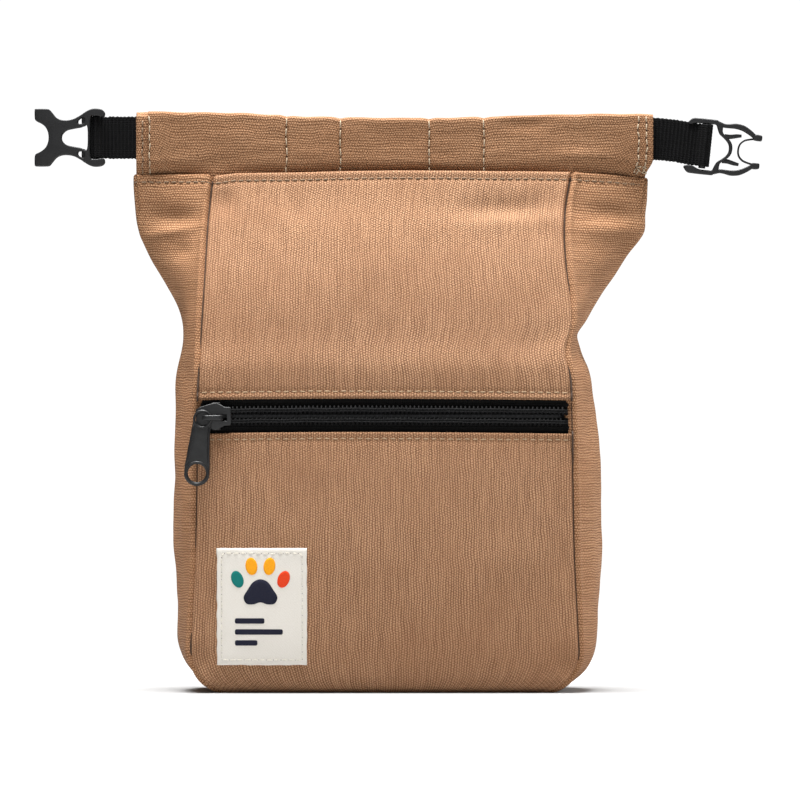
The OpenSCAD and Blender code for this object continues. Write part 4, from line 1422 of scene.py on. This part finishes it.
def make_collar():
    canvas, cream = MATERIALS["canvas_collar"], MATERIALS["thread_cream"]
    for face, end, x0 in ((-1, "front", COLLAR_X0 + 4.4), (1, "back", COLLAR_X0)):
        points, out = collar_wall(face, x0, COLLAR_X1)
        if face > 0:
            points, out = points[:, ::-1], out[:, ::-1]
        deep = np.minimum(2.55, np.abs(points[..., 1]) - 0.12)
        piece = thick_cloth("collar_" + end + "_wall", points, out, deep, canvas, 7, 0)
        fold(piece)
        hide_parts(f"collar_{end}", f"stiffener_{end}", f"magnets_{end}")
    make_collar_end(canvas)
    for face, end in ((-1, "front"), (1, "back")):
        for i, c in enumerate(CHANNEL_X):
            z = np.linspace(184.6, collar_top(np.array([c]))[0] - 0.5, 60)
            x = c + 0.16 * np.sin(z * 0.5 + i)
            y = face * (collar_reach(x, z, face) + 0.16)
            row_of(f"channel_stitches_{end}_{i + 1}", x, y, z, face, 3.1, cream, 0.46, 0.97)
        for i, at in enumerate((COLLAR_X1 - 5.3, COLLAR_X1 - 2.4)):
            z = np.linspace(185.4, 206.2, 60)
            x = at - smoothstep(z, 190.5, 184) * 1.6 + 0.22 * np.sin(z * 0.9 + 2 * i)
            y = face * (collar_reach(x, z, face) + 0.12)
            row_of(f"end_stitches_{end}_{i + 1}", x, y, z, face, 2.5, cream, 0.5, 0.86)
    make_bar_tack(cream)


def fold(piece):
    """Bakes the piece's placement into its mesh; it does not bend it."""
    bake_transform(piece)


def row_of(name, x, y, z, face, pitch, material, thick, share):
    """A row of stitches on the collar."""
    path = np.column_stack([x, y, z])
    fold(stitch_row(name, path, facing(path, face), pitch, material, thick, share, 0.07))


def strip_reach(x, z):
    """Distance of the left seam strip's face from the middle plane."""
    full = collar_bow(x) + 1.3 + 0.2 * ripples(x, z, 91, 8)
    tucked = 0.75 * mouth_room(x)
    return tucked + (full - tucked) * smoothstep(z, 184.6, 190)


def make_collar_end(canvas):
    """The seam strip at the left end: its own layer, a little lower than the collar's front."""
    x0, x1 = COLLAR_X0, COLLAR_X0 + 6.5
    xs = np.linspace(x0, x1, 12)
    share = np.linspace(0, 1, 26)
    x = np.broadcast_to(xs, (26, 12))
    low = collar_foot(x)
    z = low + (205.6 - low) * share[:, None]
    y = -strip_reach(x, z) + 0.7 * smoothstep(x, x0 + 1.2, x0) * smoothstep(z, 185, 189)
    points = np.stack([x, y, z], -1)
    deep = np.minimum(1.9, np.abs(y) - 0.08)
    piece = thick_cloth("collar_end_left", points, facing(points, -1), deep, canvas, 5, 0)
    fold(piece)
    z = np.linspace(184.8, 204.8, 50)
    at = np.full(50, x0 + 2.3) + 0.15 * np.sin(z)
    y = -(strip_reach(at, z) + 0.1)
    row_of("end_stitches_left", at, y, z, -1, 2.3, MATERIALS["thread_tan"], 0.46, 0.8)
    # Painted highlight: a near-continuous cream row at the front wall's left edge stands in for the
    # light on its fold.
    edge = np.full(50, x0 + 4.9)
    high = z + 1.4 * smoothstep(z, 184, 206)
    row_of("edge_stitches_left", edge, -(collar_reach(edge, high, -1) + 0.16), high, -1, 2.9,
           MATERIALS["thread_cream"], 0.42, 0.96)
    at = np.full(50, x0 + 2.6)
    y = collar_bow(at) + WALL_T - 0.2 + collar_relief(at, z, 1)
    row_of("end_stitches_left_back", at, y, z, 1, 2.5, MATERIALS["thread_cream"], 0.46, 0.82)


def make_bar_tack(material):
    """A small box of stitches at the foot of the right end, where the seam takes the most load."""
    x0, z0, w, h = COLLAR_X1 - 6.2, 184.9, 4.0, 3.0
    corners = [(0, 0), (0.5, 1), (1, 0.1), (0.45, 0.35), (0.05, 0.9), (0.55, 1.0), (1, 0.75)]
    parts = []
    for (a, b), (c, d) in zip(corners[:-1], corners[1:]):
        start = np.array([x0 + a * w, 0, z0 + b * h])
        end = np.array([x0 + c * w, 0, z0 + d * h])
        middle = (start + end) / 2
        middle[1] = -collar_reach(middle[0], middle[2], -1) - 0.15
        run = np.linalg.norm(end - start)
        parts.append(stitch(middle, (end - start) / run, np.array([0, -1.0, 0]), run, 0.5))
    points, faces = gather(parts)
    fold(make_mesh("bar_tack", points, faces, material, flip_check=False))


# ======== Straps ========
STRAP_LEFT = (-93.9, 198.3)
STRAP_RIGHT = (96.0, 197.3)
STRAP_LEFT_L, STRAP_RIGHT_L = 12.1, 16.2
DROOP = math.radians(6)
WEB_W = 15.0
LAYER_T = 1.1
BAR_R = 1.25
RIB_MM = 1.35


def place_left(p):
    return np.stack([STRAP_LEFT[0] - p[..., 0], p[..., 1], STRAP_LEFT[1] + p[..., 2]], -1)


def place_right(p, turn=DROOP):
    c, s = np.cos(turn), np.sin(turn)
    x, z = p[..., 0], p[..., 2]
    return np.stack([STRAP_RIGHT[0] + x * c + z * s, p[..., 1],
                     STRAP_RIGHT[1] - x * s + z * c], -1)


def strap_path(length):
    """Middle line of one length of webbing: out, round the bar, and back, in X and Y."""
    inside = -9.0
    layer = LAYER_T / 2 + 0.04
    loop = BAR_R + 0.1 + LAYER_T / 2
    out = [(x, -layer) for x in np.linspace(inside, length - 3.4, 36)]
    ease = [(length - 2.6, -layer - 0.15), (length - 1.7, -layer - 0.7)]
    turn = [(length + loop * math.sin(a), -loop * math.cos(a))
            for a in np.radians(np.linspace(-25, 205, 22))]
    back_ease = [(x, -y) for x, y in ease[::-1]]
    back = [(x, layer) for x in np.linspace(length - 3.4, inside, 36)]
    return np.array(out + ease + turn + back_ease + back)


def strap_mesh(name, length, place, seed):
    """Doubled webbing with woven ribs and slightly uneven edges."""
    path = strap_path(length)
    run = run_along(path)
    fine = np.linspace(0, run[-1], int(run[-1] / 0.22))
    line = at_run(fine, run, path)
    along = unit(np.gradient(line, axis=0))
    normal = np.stack([along[:, 1], -along[:, 0]], -1)
    rib = np.cos(fine * 2 * math.pi / RIB_MM)
    ring = round_box(LAYER_T, WEB_W, 0.42, 3)
    ring = np.concatenate([ring, ring[:1]])
    dense = []
    for a, b in zip(ring[:-1], ring[1:]):
        count = max(1, int(np.linalg.norm(b - a) / 0.5))
        dense += [a + (b - a) * k / count for k in range(count)]
    ring = np.array(dense)
    wave = 0.05 * np.cos(ring[:, 1] * 2 * math.pi / 1.2)
    edge = 0.14 * ripples(fine, fine * 0.3, seed, 3.0) + 0.10 * rib
    thick = ring[None, :, 0] + np.sign(ring[None, :, 0]) * (0.09 * rib[:, None] + wave[None, :])
    near_edge = np.sign(ring[:, 1]) * smoothstep(np.abs(ring[:, 1]), 5, 7.5)
    z = ring[None, :, 1] + near_edge * edge[:, None]
    points = np.stack([
        line[:, None, 0] + thick * normal[:, None, 0],
        line[:, None, 1] + thick * normal[:, None, 1],
        z,
    ], -1)
    flat = np.stack([np.broadcast_to(fine[:, None], z.shape), z], -1)
    shape, faces = loft(place(points))
    return make_mesh(name, shape, faces, MATERIALS["webbing"], flat.reshape(-1, 2))


def bend_right(p):
    """The right strap runs level inside the collar and droops outside it."""
    placed = place_right(p, DROOP * smoothstep(p[..., 0], -3.5, 2.0))
    placed[..., 2] += 0.5 * smoothstep(p[..., 0], 13, 5)
    return placed


def make_straps():
    left = strap_mesh("strap_left_webbing", STRAP_LEFT_L, place_left, 101)
    right = strap_mesh("strap_right_webbing", STRAP_RIGHT_L, bend_right, 102)
    for piece, side, hinge, way in ((left, "left", STRAP_LEFT, -1),
                                    (right, "right", STRAP_RIGHT, 1)):
        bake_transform(piece)
        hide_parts("strap_" + side, "webbing_anchor_" + side)


# ======== Buckle ========
def make_socket():
    """Socket: two faces with a slot between them, cheeks at the bar and at the prongs."""
    buckle = MATERIALS["buckle"]
    half = [(-2.9, 7.6), (-3.1, 9.0), (-1.9, 10.1), (0.8, 10.35), (3.0, 9.6), (5.6, 7.9), (8.4, 6.5),
            (11.6, 6.2), (14.0, 7.0), (15.8, 9.0), (16.7, 10.0), (17.8, 10.25), (21.3, 10.25),
            (21.9, 9.9), (21.9, 6.9), (21.4, 5.9), (19.8, 5.1), (18.1, 3.7), (17.2, 1.9)]
    bar_side = [(-2.2, -7.5), (0.5, -7.75), (2.0, -6.4)]
    outline = round_outline([*half, (16.95, 0.0), *mirrored(half), *bar_side, *mirrored(bar_side)], 5)
    window_half = [(3.3, 4.4), (5.4, 3.75), (8.4, 3.2), (10.6, 2.6), (12.0, 1.3)]
    window = round_outline([*window_half, (12.35, 0), *mirrored(window_half), (2.9, 0)], 5)
    ports = [round_outline([(4.3, s * 5.2), (6.2, s * 4.95), (6.3, s * 6.3), (4.4, s * 7.3)][::s], 5)
             for s in (-1, 1)]
    parts = []
    for y in (-2.85, 2.85):
        face = plate("socket_face", outline, 1.1, buckle, [window, *ports], 0.35, 3)
        parts.append(at_y(face, y))
    for s in (-1, 1):
        cheek = round_outline([(-2.6, s * 8.0), (-1.4, s * 9.7), (1.2, s * 9.9), (3.4, s * 9.0),
                               (3.2, s * 8.3), (0.5, s * 8.2)], 5)
        parts.append(plate("socket_cheek", cheek, 5.4, buckle, [], 0.3, 2))
        prong = round_outline([(16.4, s * 9.3), (17.8, s * 9.95), (21.2, s * 9.95), (21.4, s * 9.2),
                               (19.0, s * 8.9)], 5)
        parts.append(plate("socket_prong", prong, 5.4, buckle, [], 0.2, 2))
        wall = round_outline([(3.6, s * 4.7), (5.0, s * 4.4), (5.0, s * 8.0), (3.9, s * 8.6)], 4)
        parts.append(plate("socket_wall", wall, 5.2, buckle, [], 0.2, 2))
    parts.append(bar_mesh("socket_bar", 8.4, BAR_R, buckle))
    piece = join("socket", parts)
    moved(piece, lambda p: place_left(p + (STRAP_LEFT_L, 0, 0)))
    piece.data.flip_normals()
    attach(piece, "socket")
    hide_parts("buckle_socket")


def bar_mesh(name, half_length, radius, material):
    z = np.linspace(-half_length, half_length, 12)
    path = np.column_stack([np.zeros(12), np.zeros(12), z])
    return make_mesh(name, *tube(path, radius, 20, (1, 0, 0)), material)


PLUG_T = 3.6


def plug_fit(outline):
    """The plug is a touch taller than its CAD outline, and hangs lower on the webbing."""
    return np.asarray(outline) * (1, 1.035) + (0, -0.5)


def make_plug():
    """Plug: frame with two rails, a bar and a waved cross member, and two guide fingers."""
    buckle = MATERIALS["buckle"]
    half = [(-6.6, 7.6), (-5.2, 9.3), (-3.0, 9.6), (3.4, 9.6), (4.2, 9.3), (5.2, 8.9), (6.0, 8.3)]
    inner = [(6.1, 6.0), (6.6, 5.0), (8.0, 3.9), (9.4, 2.6), (10.1, 1.0)]
    outer_side = half + inner
    inside = [(8.9, 0.9), (8.2, 2.3), (6.8, 3.6), (5.2, 4.8), (4.4, 6.2), (3.6, 7.9), (2.0, 8.0),
              (-1.0, 7.95), (-3.6, 7.9), (-5.6, 7.3)]
    below = [(x, -(z if x > -2 else 6.95)) for x, z in inside[::-1]]
    outline = [*outer_side, *mirrored(outer_side), *below, *inside]
    frame_piece = plate("plug_body", plug_fit(round_outline(outline, 4)), PLUG_T, buckle, [], 0.4, 3)
    parts = [frame_piece]
    for s in (-1, 1):
        finger = band([(7.0, s * 4.2), (9.0, s * 4.3), (11.2, s * 4.75), (13.0, s * 5.0)],
                      [1.7, 1.5, 1.35, 0.95], 5)
        parts.append(plate("plug_finger", plug_fit(finger), PLUG_T - 0.8, buckle, [], 0.3, 2))
    parts.append(bar_mesh("plug_bar", 8.3, BAR_R, buckle))
    piece = join("plug", parts)
    moved(piece, lambda p: place_right(p + (STRAP_RIGHT_L, 0, 0)))
    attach(piece, "plug")
    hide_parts("plug_frame")
    for s, end in ((1, "upper"), (-1, "lower")):
        arm = band([(4.6, s * 8.5), (6.4, s * 7.95), (8.2, s * 7.95), (10.6, s * 8.15),
                    (13.4, s * 7.7), (16.0, s * 6.4), (18.2, s * 4.9)],
                   [1.3, 1.3, 1.4, 1.8, 1.9, 1.7, 1.4], 6)
        tip = round_outline([(17.3, s * 4.1), (17.5, s * 5.6), (18.4, s * 6.0), (20.1, s * 5.8),
                             (20.45, s * 5.3), (20.4, s * 4.2), (19.9, s * 3.85)], 5)
        pieces = [plate("arm", plug_fit(arm), PLUG_T - 0.1, buckle, [], 0.4, 3),
                  plate("tip", plug_fit(tip), PLUG_T, buckle, [], 0.35, 3)]
        arm_piece = join("arm_" + end, pieces)
        moved(arm_piece, lambda p: place_right(p + (STRAP_RIGHT_L, 0, 0)))
        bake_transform(arm_piece)
        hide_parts("plug_arm_" + end)
        web = band([(12.3, 0), (12.45, s * 1.2), (13.0, s * 2.4), (14.3, s * 3.5), (16.2, s * 4.1),
                    (18.0, s * 4.45)], [0.6], 6)
        web_piece = plate("web_" + end, plug_fit(web), PLUG_T - 1.0, buckle, [], 0.2, 2)
        moved(web_piece, lambda p: place_right(p + (STRAP_RIGHT_L, 0, 0)))
        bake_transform(web_piece)
        if s > 0:
            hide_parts("plug_web")


# ======== Belt loops on the back ========
def make_belt_loops():
    """Two loops of webbing, box-stitched to the back at both ends."""
    webbing, black = MATERIALS["webbing"], MATERIALS["thread_black"]
    z0, z1, width, reach, thick = 64, 124, 20.0, 5.6, 1.3
    for x, end in ((-32, "left"), (32, "right")):
        zs = np.linspace(z0, z1, 150)
        xs = np.linspace(x - width / 2, x + width / 2, 22)
        left, right = seam_place(94.0, -1), seam_place(94.0, 1)
        u = 2 * (xs - left) / (right - left) - 1
        under = skin("back", u[None, :], zs[:, None], 0.15)[0]
        off = smoothstep(zs, z0 + 9, z0 + 17) * smoothstep(zs, z1 - 9, z1 - 17)
        high = np.max(under[60:90, :, 1]) + reach - 0.5
        y = under[..., 1] * (1 - off[:, None]) + high * off[:, None]
        rib = 0.07 * np.cos(zs * 2 * math.pi / RIB_MM)[:, None]
        x_places, z_places = np.broadcast_to(xs, y.shape), np.broadcast_to(zs[:, None], y.shape)
        face = np.stack([x_places, y + thick + rib, z_places], -1)[:, ::-1]
        piece = thick_cloth("loop_" + end, face, facing(face, 1), thick, webbing, 3, 3)
        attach(piece, "pouch")
        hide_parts("belt_loop_" + end)
        for tab, middle in (("low", z0 + 4.3), ("high", z1 - 4.3)):
            a, h = width / 2 - 2.2, 3.0
            box = [(-a, -h), (a, -h), (a, h), (-a, h), (-a, -h), (a, h), (-a, h), (a, -h)]
            line = np.concatenate([np.linspace(p, q, 30) for p, q in zip(box[:-1], box[1:])])
            px, pz = x + line[:, 0], middle + line[:, 1]
            py = np.interp(pz, zs, y[:, 11]) + thick + 0.08
            path = np.column_stack([px, py, pz])
            row = stitch_row(f"loop_stitches_{end}_{tab}", path, facing(path, 1), 2.2, black, 0.42, 0.8)
            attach(row, "pouch")


make_camera()
make_studio()
make_floor()
make_body()
make_zip()
make_slider()
make_pull()
make_label()
make_collar()
make_straps()
make_socket()
make_plug()
make_belt_loops()

bpy.context.view_layer.update()
